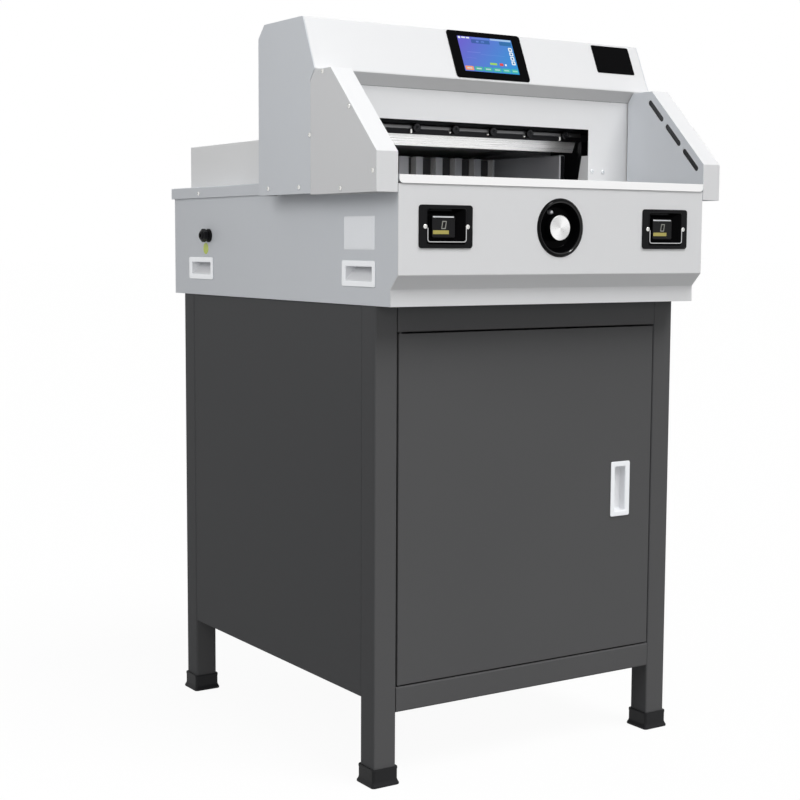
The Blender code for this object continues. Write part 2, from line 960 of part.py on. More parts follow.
def make_table():
    half_table = half_body - table_inset
    front_edge = front - table_proud
    waist = front + head_rear - head_sheet - gap
    outline = [
        (-half_table, front_edge), (half_table, front_edge), (half_table, waist),
        (half_bed, waist), (half_bed, bed_rear), (-half_bed, bed_rear),
        (-half_bed, waist), (-half_table, waist),
    ]
    half_track = stem_width / 2 + slot_margin
    track = rectangle(-half_track, front + track_front, half_track, body_rear - track_setback)
    rod_slot = rectangle(
        rod_x - rod_width / 2 - rod_clearance, rod_back - carrier_thickness - rod_clearance,
        rod_x + rod_width / 2 + rod_clearance, rod_back + rod_clearance,
    )
    table = slab(
        "table", "XY", [outline, track, rod_slot], table_bottom, table_top, "table_steel",
    )
    half_stick = knife_length / 2
    stick_y = knife_back
    groove = box(
        "stick_groove",
        (-half_stick - gap, stick_y - stick_width / 2 - gap, table_top - stick_depth - gap),
        (half_stick + gap, stick_y + stick_width / 2 + gap, table_top + overrun), None,
    )
    corners = [
        slab(
            f"table_{side}_corner", "XZ",
            [[
                (sign * (half_table + overrun), table_bottom - overrun),
                (sign * (half_table + overrun), table_bottom + table_corner),
                *quarter(
                    sign * (half_table - table_corner), table_bottom + table_corner,
                    sign * table_corner, -table_corner,
                ),
                (sign * (half_table - table_corner), table_bottom - overrun),
            ]],
            front_edge - overrun, waist + overrun, None,
        )
        for side, sign in (("left", -1), ("right", 1))
    ]
    cut(table, groove, *corners)
    box(
        "cutting_stick",
        (-half_stick, stick_y - stick_width / 2, table_top - stick_depth),
        (half_stick, stick_y + stick_width / 2, table_top), "red_plastic",
    )


def make_rear_deck():
    half = half_body + deck_side_overhang
    low_y = front + head_rear + gap
    deck = sheet_box(
        "rear_deck", (-half, low_y, deck_height - deck_lip),
        (half, body_rear + deck_overhang, deck_height), ("front", "bottom"),
        panel_sheet, "side_paint", guard_fillet,
    )
    bay = box(
        "deck_bay", (-half_bed - gap, low_y - overrun, deck_height - deck_lip),
        (half_bed + gap, bed_rear + gap, deck_height + overrun), None,
    )
    cut(deck, bay)
    sheet_box(
        "rear_guard", (-half_guard, low_y, deck_height + gap),
        (half_guard, guard_rear, guard_top), ("front", "bottom"),
        panel_sheet, "side_paint", guard_fillet,
    )


def head_profile():
    return bent([
        (front + plate_y, plate_top),
        (front + lip_y, lip_z),
        (front + top_front_y, head_top),
        (front + chamfer_y, head_top),
        (front + head_rear, chamfer_z),
        (front + head_rear, head_bottom),
    ])


def make_head():
    inner_half = half_head - head_sheet - gap
    shell = folded_sheet(
        "head_shell", list(reversed(head_profile())), -inner_half, inner_half, head_sheet,
        "light_paint",
    )
    rear = front + head_rear
    window_half = half_guard - panel_sheet
    window = box(
        "head_window", (-window_half, rear - 2 * overrun, head_bottom - overrun),
        (window_half, rear + overrun, guard_top - panel_sheet), None,
    )
    body_window = box(
        "head_body_window", (-half_body - overrun, rear - 2 * overrun, head_bottom - overrun),
        (half_body + overrun, rear + overrun, table_top + gap), None,
    )
    cut(shell, window, body_window)
    seam_y = front + plate_y - head_sheet - gap
    outline = [
        (seam_y, head_bottom),
        (seam_y, plate_top + (plate_y + front - seam_y)),
        *head_profile()[1:],
    ]
    for side, sign in (("left", -1), ("right", 1)):
        low, high = sorted((sign * half_head, sign * (half_head - head_sheet)))
        slab(f"head_{side}_cover", "YZ", [outline], low, high, "side_paint")
    half_opening = opening_width / 2
    plate_bottom = bed_level
    plate = slab(
        "front_plate", "XZ",
        [[
            (-inner_half, plate_bottom), (-half_opening, plate_bottom),
            (-half_opening, opening_top), (half_opening, opening_top),
            (half_opening, plate_bottom), (inner_half, plate_bottom),
            (inner_half, plate_top - gap), (-inner_half, plate_top - gap),
        ]],
        front + plate_y, front + plate_y + head_sheet, "light_paint",
    )
    tab_front = front + plate_y + head_sheet / 2
    tab_rear = front + plate_y + tab_depth
    tabs = []
    for side, sign in (("left", -1), ("right", 1)):
        low, high = sorted((sign * half_opening, sign * (half_opening + head_sheet)))
        tabs.append(
            slab(
                f"{side}_tab", "YZ",
                [[
                    (tab_front, plate_bottom), (tab_rear, plate_bottom),
                    (tab_rear - tab_lean, plate_bottom + tab_height),
                    (tab_front, plate_bottom + tab_height),
                ]],
                low, high, None,
            )
        )
    join(plate, *tabs)


def wing_outline(inset):
    rear = front + plate_y - head_sheet - 2 * gap
    path = [
        (rear + overrun if inset else rear, wing_bottom - (overrun if inset else 0)),
        (front, wing_bottom - (overrun if inset else 0)),
        (front, wing_knee),
        (front + wing_shoulder_y, wing_top),
        (front + lip_y + gap, wing_top),
        (rear, plate_top + wing_heel_rise),
    ]
    if not inset:
        return path
    inner = offset_path(path, -inset)
    inner[0] = (rear + overrun, inner[0][1])
    inner[-1] = (rear + overrun, inner[-1][1])
    inner[0] = (inner[0][0], wing_bottom - overrun)
    inner[1] = (inner[1][0], wing_bottom - overrun)
    return inner


def make_wings():
    run_y = wing_shoulder_y
    run_z = wing_top - wing_knee
    angle = math.atan2(run_z, run_y)
    for side, sign in (("left", -1), ("right", 1)):
        low, high = sorted((sign * wing_inner, sign * half_head))
        wing = slab(f"wing_{side}", "YZ", [wing_outline(0)], low, high, "light_paint")
        hollow = slab(
            f"wing_{side}_hollow", "YZ", [wing_outline(head_sheet)],
            low + head_sheet, high - head_sheet, None,
        )
        cut(wing, hollow)
        for index in range(slot_count):
            along = slot_first + slot_length / 2 + slot_pitch * index
            centre_y = front + along * math.cos(angle) + slot_inset * math.sin(angle)
            centre_z = wing_knee + along * math.sin(angle) - slot_inset * math.cos(angle)
            low_x, high_x = sorted((sign * (wing_inner - overrun), sign * (wing_inner + overrun)))
            window = slab(
                f"wing_{side}_window_{index}", "YZ",
                [slot(slot_length, slot_width, centre_y, centre_z, angle)], low_x, high_x, None,
            )
            cut(wing, window)


def make_head_frame():
    top = head_top - head_sheet - gap
    slant = (top_front_y - lip_y) / slope_drop
    front_y = front + upright_front
    rear_y = front + upright_rear
    shoulder_z = plate_top
    outline = [
        (front_y, bed_level), (rear_y, bed_level),
        (rear_y, chamfer_z - upright_fillet),
        (rear_y - (head_rear - chamfer_y), top),
        (front_y + slant * (top - shoulder_z), top),
        (front_y, shoulder_z),
    ]
    for side, sign in (("left", -1), ("right", 1)):
        low, high = sorted((sign * upright_inner, sign * (upright_inner + upright_thickness)))
        slab(f"upright_{side}", "YZ", [outline], low, high, "dark_casting")
    half = upright_inner - gap
    low_y = front + knife_y
    slab(
        "press_beam", "XY",
        [
            rectangle(-half, low_y, half, low_y + beam_depth),
            circle(spindle_radius + gap, 0, clamp_y),
            circle(column_radius + gap, -column_spread, clamp_y),
            circle(column_radius + gap, column_spread, clamp_y),
        ],
        beam_top - beam_height, beam_top, "dark_casting",
    )


def make_knife():
    face = front + knife_y
    knife = slab(
        "knife", "YZ",
        [[
            (face, knife_edge + knife_bevel), (knife_back, knife_edge),
            (knife_back, knife_edge + knife_height), (face, knife_edge + knife_height),
        ]],
        -knife_length / 2, knife_length / 2, "ground_steel",
    )
    low = knife_edge + knife_bevel
    front_y = rod_back - carrier_thickness
    lip_y_front = front_y - carrier_lip_proud
    carrier = slab(
        "knife_carrier", "YZ",
        [[
            (rod_back, low), (lip_y_front, low), (lip_y_front, low + carrier_lip),
            (front_y, low + carrier_lip + carrier_lip_proud), (front_y, low + carrier_height),
            (rod_back, low + carrier_height),
        ]],
        -carrier_length / 2, carrier_length / 2, "dark_casting",
    )
    bolt_count = round(knife_length / bolt_pitch)
    for index in range(bolt_count):
        x = (index - (bolt_count - 1) / 2) * bolt_pitch
        z = low + bolt_rise
        bolt = bar(
            f"bolt_{index}", (x, lip_y_front - bolt_reach, z),
            (x, lip_y_front + carrier_lip_proud, z), bolt_radius, None, 12,
        )
        join(carrier, bolt)
    rod_top = low - gap
    half_yoke = yoke_width / 2
    yoke_top = yoke_z + yoke_height / 2
    yoke_bottom = yoke_z - yoke_height / 2
    slot_reach = crank_radius + crank_pin_radius + gap
    slot_rise = crank_pin_radius + open_pivot_gap
    rod = slab(
        "pull_rod", "XZ",
        [
            [
                (rod_x - half_yoke, yoke_bottom), (rod_x + half_yoke, yoke_bottom),
                (rod_x + half_yoke, yoke_top), (rod_x + rod_width / 2, yoke_top),
                (rod_x + rod_width / 2, rod_top), (rod_x - rod_width / 2, rod_top),
                (rod_x - rod_width / 2, yoke_top), (rod_x - half_yoke, yoke_top),
            ],
            rectangle(
                rod_x - slot_reach, yoke_z - slot_rise, rod_x + slot_reach, yoke_z + slot_rise,
            ),
        ],
        rod_back - carrier_thickness, rod_back, "ground_steel",
    )
    carry("knife_axis", (0, face, knife_edge), (knife, carrier, rod))


def make_knife_drive():
    disc = bar(
        "crank_disc", (rod_x, crank_y, crank_z), (rod_x, crank_y + crank_thickness, crank_z),
        crank_radius + crank_rim, "ground_steel", 32,
    )
    pin = bar(
        "crank_pin", (rod_x, rod_back - carrier_thickness, yoke_z),
        (rod_x, crank_y + crank_thickness / 2, yoke_z), crank_pin_radius, None, 16,
    )
    join(disc, pin)
    carry("crank_axis", (rod_x, crank_y, crank_z), (disc,))
    low_y = crank_y + crank_thickness + gap
    middle_y = low_y + gearbox_depth / 2
    half = gearbox_width / 2
    base = body_floor + base_sheet + gap
    gearbox = box(
        "knife_gearmotor", (rod_x - half, low_y, base),
        (rod_x + half, low_y + gearbox_depth, crank_z + gearbox_rise), "motor_paint",
        gearbox_fillet,
    )
    motor = bar(
        "knife_motor_body", (rod_x - half - motor_length, middle_y, crank_z),
        (rod_x - half + gearbox_fillet, middle_y, crank_z), motor_radius, None, 32,
    )
    join(gearbox, motor)


def make_clamp():
    half = clamp_width / 2
    low_y = clamp_front
    high_y = clamp_front + clamp_depth
    clamp = box(
        "clamp", (-half, low_y, clamp_bottom), (half, high_y, clamp_top), "dark_casting",
        clamp_fillet, 1,
    )
    columns = [
        bar(
            f"clamp_column_{side}", (sign * column_spread, clamp_y, clamp_top - overrun),
            (sign * column_spread, clamp_y, clamp_top + column_height), column_radius, None,
        )
        for side, sign in (("left", -1), ("right", 1))
    ]
    boss_top = clamp_top + boss_height
    boss = bar(
        "clamp_boss", (0, clamp_y, clamp_top - overrun), (0, clamp_y, boss_top), boss_radius, None,
    )
    join(clamp, boss, *columns)
    bore = bar(
        "clamp_bore", (0, clamp_y, clamp_bottom + bore_floor), (0, clamp_y, boss_top + overrun),
        spindle_radius + gap, None,
    )
    cut(clamp, bore)
    carry("clamp_axis", (0, clamp_y, clamp_bottom), (clamp,))
    spindle_bottom = clamp_bottom + bore_floor + spindle_end_gap
    spindle = bar(
        "clamp_spindle", (0, clamp_y, spindle_bottom), (0, clamp_y, beam_top + spindle_head),
        spindle_radius, "ground_steel",
    )
    carry("spindle_axis", (0, clamp_y, spindle_bottom), (spindle,))
    base = beam_top + gap
    slab(
        "clamp_motor", "XY",
        [
            circle(press_motor_radius, 0, clamp_y, 32),
            circle(spindle_radius + gap, 0, clamp_y),
        ],
        base, beam_top + press_motor_height, "motor_paint",
    )


def gauge_gaps():
    half = gauge_width / 2
    count = int((half - rib_start - rib_least) / rib_pitch)
    gaps = [(middle_rib / 2, rib_start)]
    for index in range(count):
        low = rib_start + rib_pitch * index + rib_width
        gaps.append((low, rib_start + rib_pitch * (index + 1)))
    return gaps + [(-high, -low) for low, high in gaps]


def make_back_gauge():
    face = front + gauge_face
    rear = face + gauge_depth
    gauge_top = bed_level + gauge_height
    gauge = box(
        "back_gauge", (-gauge_width / 2, face, bed_level), (gauge_width / 2, rear, gauge_top),
        "grey_aluminium",
    )
    gaps = [
        box(
            f"rib_gap_{index}", (low, face - overrun, bed_level - overrun),
            (high, face + rib_depth, gauge_top + overrun), None,
        )
        for index, (low, high) in enumerate(gauge_gaps())
    ]
    nut_front = rear - nut_depth
    stem = box(
        "gauge_stem",
        (-stem_width / 2, nut_front + nut_wall / 2, screw_z + screw_radius + nut_wall / 2),
        (stem_width / 2, rear - nut_wall / 2, bed_level + overrun), None,
    )
    nut = box(
        "gauge_nut", (-nut_width / 2, nut_front, screw_z - screw_radius - nut_wall),
        (nut_width / 2, rear, screw_z + screw_radius + nut_wall), None,
    )
    bore = bar(
        "gauge_bore", (0, nut_front - overrun, screw_z), (0, rear + overrun, screw_z),
        screw_radius + gap, None,
    )
    join(gauge, stem, nut)
    cut(gauge, bore, *gaps)
    carry("gauge_axis", (0, face, bed_level), (gauge,))
    screw = bar(
        "gauge_screw", (0, front + screw_front, screw_z), (0, body_rear - screw_setback, screw_z),
        screw_radius, "ground_steel",
    )
    carry("screw_axis", (0, front + screw_front, screw_z), (screw,))
    high_y = front + screw_front - gap
    half = gauge_motor_size / 2
    box(
        "gauge_motor", (-half, high_y - gauge_motor_length, screw_z - half),
        (half, high_y, table_bottom - gap), "motor_paint", gearbox_fillet,
    )
    inner = clamp_width / 2 + guide_gap
    for side, sign in (("left", -1), ("right", 1)):
        low, high = sorted((sign * inner, sign * (inner + guide_thickness)))
        box(
            f"side_guide_{side}", (low, front + guide_front, bed_level),
            (high, body_rear - guide_setback, bed_level + guide_height), "grey_aluminium",
            guide_fillet, 1,
        )


def make_buttons():
    back_width = funnel_hole_width + 2 * button_wall
    back_height = funnel_hole_height + 2 * button_wall
    for side, sign in (("left", -1), ("right", 1)):
        face = facing("front", (sign * button_x, front, button_z))
        loft(
            f"cut_bezel_{side}",
            [
                ring(bezel_width, bezel_height, bezel_fillet, bezel_edge - bezel_proud),
                ring(
                    bezel_width - 2 * bezel_edge, bezel_height - 2 * bezel_edge,
                    bezel_fillet - bezel_edge, -bezel_proud,
                ),
                ring(funnel_width, funnel_height, bezel_fillet, -bezel_proud),
                ring(
                    funnel_hole_width + button_wall, funnel_hole_height + button_wall,
                    button_fillet, funnel_floor,
                ),
                ring(funnel_hole_width, funnel_hole_height, button_fillet, funnel_floor),
                ring(funnel_hole_width, funnel_hole_height, button_fillet, button_guide),
                ring(back_width, back_height, button_fillet, button_guide),
                ring(neck_width, neck_height, bezel_fillet, neck_depth),
                ring(neck_width, neck_height, bezel_fillet, -gap),
                ring(bezel_width, bezel_height, bezel_fillet, -gap),
            ],
            face, "black_plastic", closed=True,
        )
        button = loft(
            f"cut_button_{side}",
            [
                ring(
                    button_width - 2 * button_edge, button_height - 2 * button_edge,
                    button_fillet, button_front,
                ),
                ring(button_width, button_height, button_fillet, button_front + button_edge),
                ring(button_width, button_height, button_fillet, button_front + button_length),
            ],
            face, "black_plastic",
        )
        carry(f"button_axis_{side}", (sign * button_x, front, button_z), (button,))


def make_handwheel():
    face = facing("front", (0, front, wheel_z))
    bore = shaft_radius + shaft_clearance
    rim_inner = dish_radius - rim_width
    turned(
        "handwheel_dish",
        [
            (bore, dish_depth),
            (bore, dish_depth + dish_wall),
            (dish_floor_radius + dish_wall, dish_depth + dish_wall),
            (dish_neck_radius, dish_wall),
            (dish_neck_radius, -gap),
            (dish_radius, -gap),
            (dish_radius, rim_edge - rim_proud),
            (dish_radius - rim_edge, -rim_proud),
            (rim_inner, -rim_proud),
            (dish_floor_radius + rim_width, 0),
            (dish_floor_radius, dish_depth),
        ],
        face, "black_plastic", 40,
    )
    knob_back = dish_depth - knob_gap

    def fluted(radius, depth, flute):
        points = []
        for step in range(2 * knob_flutes):
            reach = radius - (flute if step % 2 else 0)
            angle = math.pi * step / knob_flutes
            points.append((reach * math.cos(angle), reach * math.sin(angle), depth))
        return points

    knob = loft(
        "handwheel_knob",
        [
            fluted(knob_radius - knob_chamfer, -knob_front, 0),
            fluted(knob_radius, knob_chamfer - knob_front, knob_flute_depth),
            fluted(knob_radius, knob_back, knob_flute_depth),
            fluted(shaft_radius, knob_back, 0),
            fluted(shaft_radius, knob_back + shaft_length, 0),
        ],
        face, "ground_steel",
    )
    carry("wheel_axis", (0, front, wheel_z), (knob,))


def make_display():
    face = slope_face(display_x, slope_length / 2)
    glass_back = window_depth + glass_thickness - display_proud
    neck = (display_width - 2 * display_lip, display_height - 2 * display_lip)
    hole = (neck[0] + 2 * gap, neck[1] + 2 * gap)
    cutout = loft(
        "screen_hole",
        [ring(*hole, display_fillet, -overrun), ring(*hole, display_fillet, overrun)],
        face, None,
    )
    cut(parts.objects["head_shell"], cutout)
    loft(
        "screen_bezel",
        [
            ring(window_width, window_height, gap, glass_back + gap),
            ring(window_width, window_height, gap, -display_proud),
            ring(
                display_width - display_proud, display_height - display_proud,
                display_fillet, -display_proud,
            ),
            ring(display_width, display_height, display_fillet, -display_proud / 2),
            ring(display_width, display_height, display_fillet, -gap),
            ring(*neck, display_fillet, -gap),
            ring(*neck, display_fillet, display_depth),
        ],
        face, "black_plastic",
    )
    glass = (window_width - 2 * gap, window_height - 2 * gap)
    loft(
        "screen",
        [ring(*glass, gap, glass_back - glass_thickness), ring(*glass, gap, glass_back)],
        face, "display_glass",
    )


clear_scene()
parts = new_collection("electric_paper_cutter")
cutters = new_collection("cutters")
materials = make_materials()
make_stand()
make_stand_panels()
make_rails()
make_door()
make_body()
make_carry_cups()
make_gland()
make_table()
make_rear_deck()
make_head()
make_wings()
make_head_frame()
make_knife()
make_knife_drive()
make_clamp()
make_back_gauge()
make_buttons()
make_handwheel()
make_display()
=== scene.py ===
import json
import math

import bmesh
import bpy
from mathutils import Matrix, Vector

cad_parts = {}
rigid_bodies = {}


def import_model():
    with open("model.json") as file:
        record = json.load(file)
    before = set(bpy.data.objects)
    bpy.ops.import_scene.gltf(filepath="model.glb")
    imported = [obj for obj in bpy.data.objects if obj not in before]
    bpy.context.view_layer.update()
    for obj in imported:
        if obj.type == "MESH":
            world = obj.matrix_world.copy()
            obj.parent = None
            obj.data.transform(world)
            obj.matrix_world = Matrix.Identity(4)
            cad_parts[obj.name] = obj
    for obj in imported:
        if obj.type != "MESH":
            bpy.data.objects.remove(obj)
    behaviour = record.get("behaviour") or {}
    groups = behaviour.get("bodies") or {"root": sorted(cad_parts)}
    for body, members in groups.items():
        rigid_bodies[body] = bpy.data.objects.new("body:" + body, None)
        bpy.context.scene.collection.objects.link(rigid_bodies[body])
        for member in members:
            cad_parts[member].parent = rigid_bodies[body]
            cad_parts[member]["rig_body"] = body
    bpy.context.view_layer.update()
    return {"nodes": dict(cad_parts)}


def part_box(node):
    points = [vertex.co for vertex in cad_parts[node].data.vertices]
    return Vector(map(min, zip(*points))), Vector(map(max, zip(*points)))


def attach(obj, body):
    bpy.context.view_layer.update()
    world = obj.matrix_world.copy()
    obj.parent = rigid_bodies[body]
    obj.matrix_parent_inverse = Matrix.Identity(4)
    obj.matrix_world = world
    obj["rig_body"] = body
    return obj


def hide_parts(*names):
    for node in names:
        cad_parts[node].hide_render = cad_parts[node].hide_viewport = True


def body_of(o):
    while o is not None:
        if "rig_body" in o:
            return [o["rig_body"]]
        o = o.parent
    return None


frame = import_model()
nodes = frame["nodes"]

# Places that many pieces use, all read from the frame, in metres
mm = 0.001
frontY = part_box("front_panel")[0].y
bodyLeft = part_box("body_left_panel")[0].x
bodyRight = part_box("body_right_panel")[1].x

# What a flange stands off the sheet that it is seated on
seatGap = 0.3 * mm
sides = ("left", "right")


def boxOf(nodeName):
    low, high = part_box(nodeName)
    return low, high, (low + high) / 2, high - low


# The name in the scene of a record node
def sceneName(nodeName):
    first, *others = nodeName.split("_")
    return first + "".join(word.title() for word in others)


# Selecting and placing

def clearSelection():
    if bpy.context.mode != "OBJECT":
        bpy.ops.object.mode_set(mode="OBJECT")
    bpy.ops.object.select_all(action="DESELECT")


def takeUp(piece):
    clearSelection()
    piece.select_set(True)
    bpy.context.view_layer.objects.active = piece


def openMesh(piece, kind="FACE", action="DESELECT"):
    takeUp(piece)
    bpy.ops.object.mode_set(mode="EDIT")
    bpy.ops.mesh.select_mode(type=kind)
    bpy.ops.mesh.select_all(action=action)


def closeMesh():
    bpy.ops.object.mode_set(mode="OBJECT")


# Ends the modelling of a closed piece, with its normals outward
def closeSolid():
    bpy.ops.mesh.select_all(action="SELECT")
    bpy.ops.mesh.normals_make_consistent(inside=False)
    closeMesh()


def pickFaces(piece, wanted):
    shape = bmesh.from_edit_mesh(piece.data)
    for face in shape.faces:
        face.select_set(wanted(face.calc_center_median(), face.normal))
    bmesh.update_edit_mesh(piece.data)


def pickPoints(piece, wanted):
    shape = bmesh.from_edit_mesh(piece.data)
    for point in shape.verts:
        point.select_set(wanted(point.co))
    shape.select_flush_mode()
    bmesh.update_edit_mesh(piece.data)


# The display's slope on the head, from its foot to its top
slopeFoot = Vector((0, frontY + 177.6 * mm, 1097 * mm))
slopeTop = Vector((0, frontY + 213.9 * mm, 1179 * mm))
slopeUp = (slopeTop - slopeFoot).normalized()


def slopePlace(x, along, off=0.0):
    return slopeFoot + slopeUp * along + Vector((x, 0, 0)) + Vector((0, -slopeUp.z, slopeUp.y)) * off


# The way across and the way up of each face that pieces are laid on
faces = {
    "front": ((1, 0, 0), (0, 0, 1)), "left": ((0, -1, 0), (0, 0, 1)), "right": ((0, 1, 0), (0, 0, 1)),
    "up": ((1, 0, 0), (0, 1, 0)), "slope": ((1, 0, 0), slopeUp),
}


# Turns a piece made flat on XY, front towards +Z, onto one face of the machine
def layOn(piece, origin, across, up):
    across = Vector(across).normalized()
    up = Vector(up).normalized()
    turn = Matrix((across, up, across.cross(up))).transposed().to_4x4()
    piece.matrix_world = Matrix.Translation(origin) @ turn
    takeUp(piece)
    bpy.ops.object.transform_apply(location=True, rotation=True, scale=True)
    return piece


def copyTo(master, name, origin, side):
    twin = master.copy()
    twin.data = master.data.copy()
    twin.name = twin.data.name = name
    bpy.context.scene.collection.objects.link(twin)
    return layOn(twin, origin, *faces[side])


def applyModifier(piece, kind, **settings):
    modifier = piece.modifiers.new(kind.lower(), kind)
    for key, value in settings.items():
        setattr(modifier, key, value)
    takeUp(piece)
    bpy.ops.object.modifier_apply(modifier=modifier.name)


# Cuts the piece just made out of another one, and removes it
def cutOut(piece):
    cutter = bpy.context.object
    applyModifier(piece, "BOOLEAN", object=cutter, operation="DIFFERENCE")
    bpy.data.objects.remove(cutter, do_unlink=True)


softEdge = {"segments": 2, "angle": 32, "shadingMargin": 6}


# Rounds the edges of a piece and shades it as one moulded or folded surface
def softenEdges(piece, width=0, angle=softEdge["angle"]):
    if width:
        applyModifier(
            piece, "BEVEL", width=width, segments=softEdge["segments"], limit_method="ANGLE",
            angle_limit=math.radians(angle), miter_outer="MITER_ARC",
        )
    takeUp(piece)
    bpy.ops.object.shade_smooth_by_angle(angle=math.radians(angle + softEdge["shadingMargin"]))
    applyModifier(piece, "WEIGHTED_NORMAL", keep_sharp=True)
    return piece


def dress(piece, body, finish):
    piece.data.materials.clear()
    piece.data.materials.append(finish)
    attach(piece, body)
    return piece


# Gives the faces that a test picks a finish of their own
def coatFaces(piece, finishName, wanted):
    piece.data.materials.append(finishes[finishName])
    openMesh(piece)
    pickFaces(piece, wanted)
    piece.active_material_index = len(piece.data.materials) - 1
    bpy.ops.object.material_slot_assign()
    closeMesh()


# Lays a softened piece on a face and dresses it
def fit(piece, origin, side, body, finishName):
    layOn(piece, origin, *faces[side])
    dress(piece, body, finishes[finishName])


# Starting shapes

# Rings round an outline, a radius or a width and a height, by steps of growth and level in mm
def ringsRound(outline, base, *steps):
    return [(*(side + growth * mm for side in outline), base + level * mm) for growth, level in steps]


def ring(outline, growth, level):
    return outline[0] + growth, outline[1] + growth, level


# A round-cornered outline carried through rings of (width, height, level, shift up)
def addMoulded(name, rings, corner, cornerSteps=5):
    width, height, level = rings[0][:3]
    clearSelection()
    bpy.ops.mesh.primitive_plane_add(size=1, location=(0, 0, 0))
    piece = bpy.context.object
    piece.name = piece.data.name = name
    piece.scale = (width, height, 1)
    piece.location = (0, 0, level)
    bpy.ops.object.transform_apply(location=True, rotation=True, scale=True)
    openMesh(piece, "VERT", "SELECT")
    bpy.ops.mesh.bevel(offset=corner, segments=cornerSteps, affect="VERTICES")
    bpy.ops.mesh.select_mode(type="FACE")
    bpy.ops.mesh.select_all(action="SELECT")
    centre = 0
    for nextWidth, nextHeight, nextLevel, *shifts in rings[1:]:
        shift = sum(shifts)
        bpy.ops.mesh.extrude_region_move(TRANSFORM_OT_translate={"value": (0, shift, nextLevel - level)})
        centre += shift
        bpy.ops.transform.resize(
            value=(nextWidth / width, nextHeight / height, 1), center_override=(0, centre, nextLevel),
        )
        width, height, level = nextWidth, nextHeight, nextLevel
    closeSolid()
    return piece


# A round piece through rings of (radius, level). Flutes lie between two levels, at every other
# point, and their depth is that at the last ring
def addTurned(name, rings, points=48, flutes=None):
    radius, level = rings[0]
    clearSelection()
    bpy.ops.mesh.primitive_circle_add(
        vertices=points, radius=radius, fill_type="NGON", location=(0, 0, level),
    )
    piece = bpy.context.object
    piece.name = piece.data.name = name
    bpy.ops.object.transform_apply(location=True, rotation=True, scale=True)
    openMesh(piece, "FACE", "SELECT")
    for nextRadius, nextLevel in rings[1:]:
        bpy.ops.mesh.extrude_region_move(TRANSFORM_OT_translate={"value": (0, 0, nextLevel - level)})
        share = nextRadius / radius
        bpy.ops.transform.resize(value=(share, share, 1), center_override=(0, 0, nextLevel))
        radius, level = nextRadius, nextLevel
    if flutes:
        bottom, top, depth = flutes
        step = 2 * math.pi / points

        def inGroove(point):
            turn = round(math.atan2(point.y, point.x) / step)
            return bottom <= point.z <= top and turn % 2 == 1

        bpy.ops.mesh.select_mode(type="VERT")
        bpy.ops.mesh.select_all(action="DESELECT")
        pickPoints(piece, inGroove)
        share = 1 - depth / radius
        bpy.ops.transform.resize(value=(share, share, 1), center_override=(0, 0, 0))
        bpy.ops.mesh.select_mode(type="FACE")
    closeSolid()
    return piece


# What makes two points one and two faces flat in the skin of a CAD solid
skinMerge = {"distance": 0.01 * mm, "angle": 0.6}


# The skin of a CAD solid: merged, cleaned of its triangles, and its edges broken
def addSkin(nodeName, edge, finish):
    source = nodes[nodeName]
    skin = source.copy()
    skin.data = source.data.copy()
    skin.name = skin.data.name = sceneName(nodeName) + "Skin"
    skin.parent = None
    skin.matrix_world = Matrix.Identity(4)
    bpy.context.scene.collection.objects.link(skin)
    openMesh(skin, "FACE", "SELECT")
    bpy.ops.mesh.remove_doubles(threshold=skinMerge["distance"])
    bpy.ops.mesh.dissolve_limited(angle_limit=math.radians(skinMerge["angle"]))
    closeMesh()
    softenEdges(skin, edge)
    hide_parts(nodeName)
    return dress(skin, body_of(source)[0], finish)


# Effects that several finishes share

def addNode(tree, kind, **settings):
    node = tree.nodes.new("ShaderNode" + kind)
    for key, value in settings.items():
        setattr(node, key, value)
    return node


# Puts a number or what a link brings into a socket
def feed(tree, socket, value):
    if isinstance(value, bpy.types.NodeSocket):
        tree.links.new(value, socket)
    else:
        socket.default_value = value


def addMath(tree, operation, first, second):
    node = addNode(tree, "Math", operation=operation)
    feed(tree, node.inputs[0], first)
    feed(tree, node.inputs[1], second)
    return node.outputs[0]


# A value round one half as a swing round zero
def addSwing(tree, value, size):
    return addMath(tree, "MULTIPLY", addMath(tree, "SUBTRACT", value, 0.5), size)


def addNoise(tree, place, scale, detail=3, stretch=None):
    noise = addNode(tree, "TexNoise")
    if stretch is not None:
        stretched = addNode(tree, "VectorMath", operation="MULTIPLY")
        feed(tree, stretched.inputs[0], place)
        feed(tree, stretched.inputs[1], stretch)
        place = stretched.outputs[0]
    for title, value in (("Detail", detail), ("Vector", place), ("Scale", scale)):
        feed(tree, noise.inputs[title], value)
    return noise.outputs[0]


# A colour whose value is scaled by a number that lies round 1
def addTone(tree, colour, tone):
    shade = addNode(tree, "HueSaturation")
    feed(tree, shade.inputs["Color"], colour)
    feed(tree, shade.inputs["Value"], tone)
    return shade.outputs[0]


effectInputs = {
    "Place": ("Vector", None), "Colour": ("Color", (0.5, 0.5, 0.5, 1)), "Roughness": ("Float", 0.4),
    "Grain Scale": ("Float", 900.0), "Unevenness": ("Float", 0.02), "Stretch": ("Vector", (1, 1, 1)),
}
effectOutputs = {"Colour": "Color", "Roughness": "Float", "Height": "Float"}
effectSwing = {"drift": 3.0, "driftShare": 2.0, "grainRoughness": 0.12, "driftRoughness": 0.10}


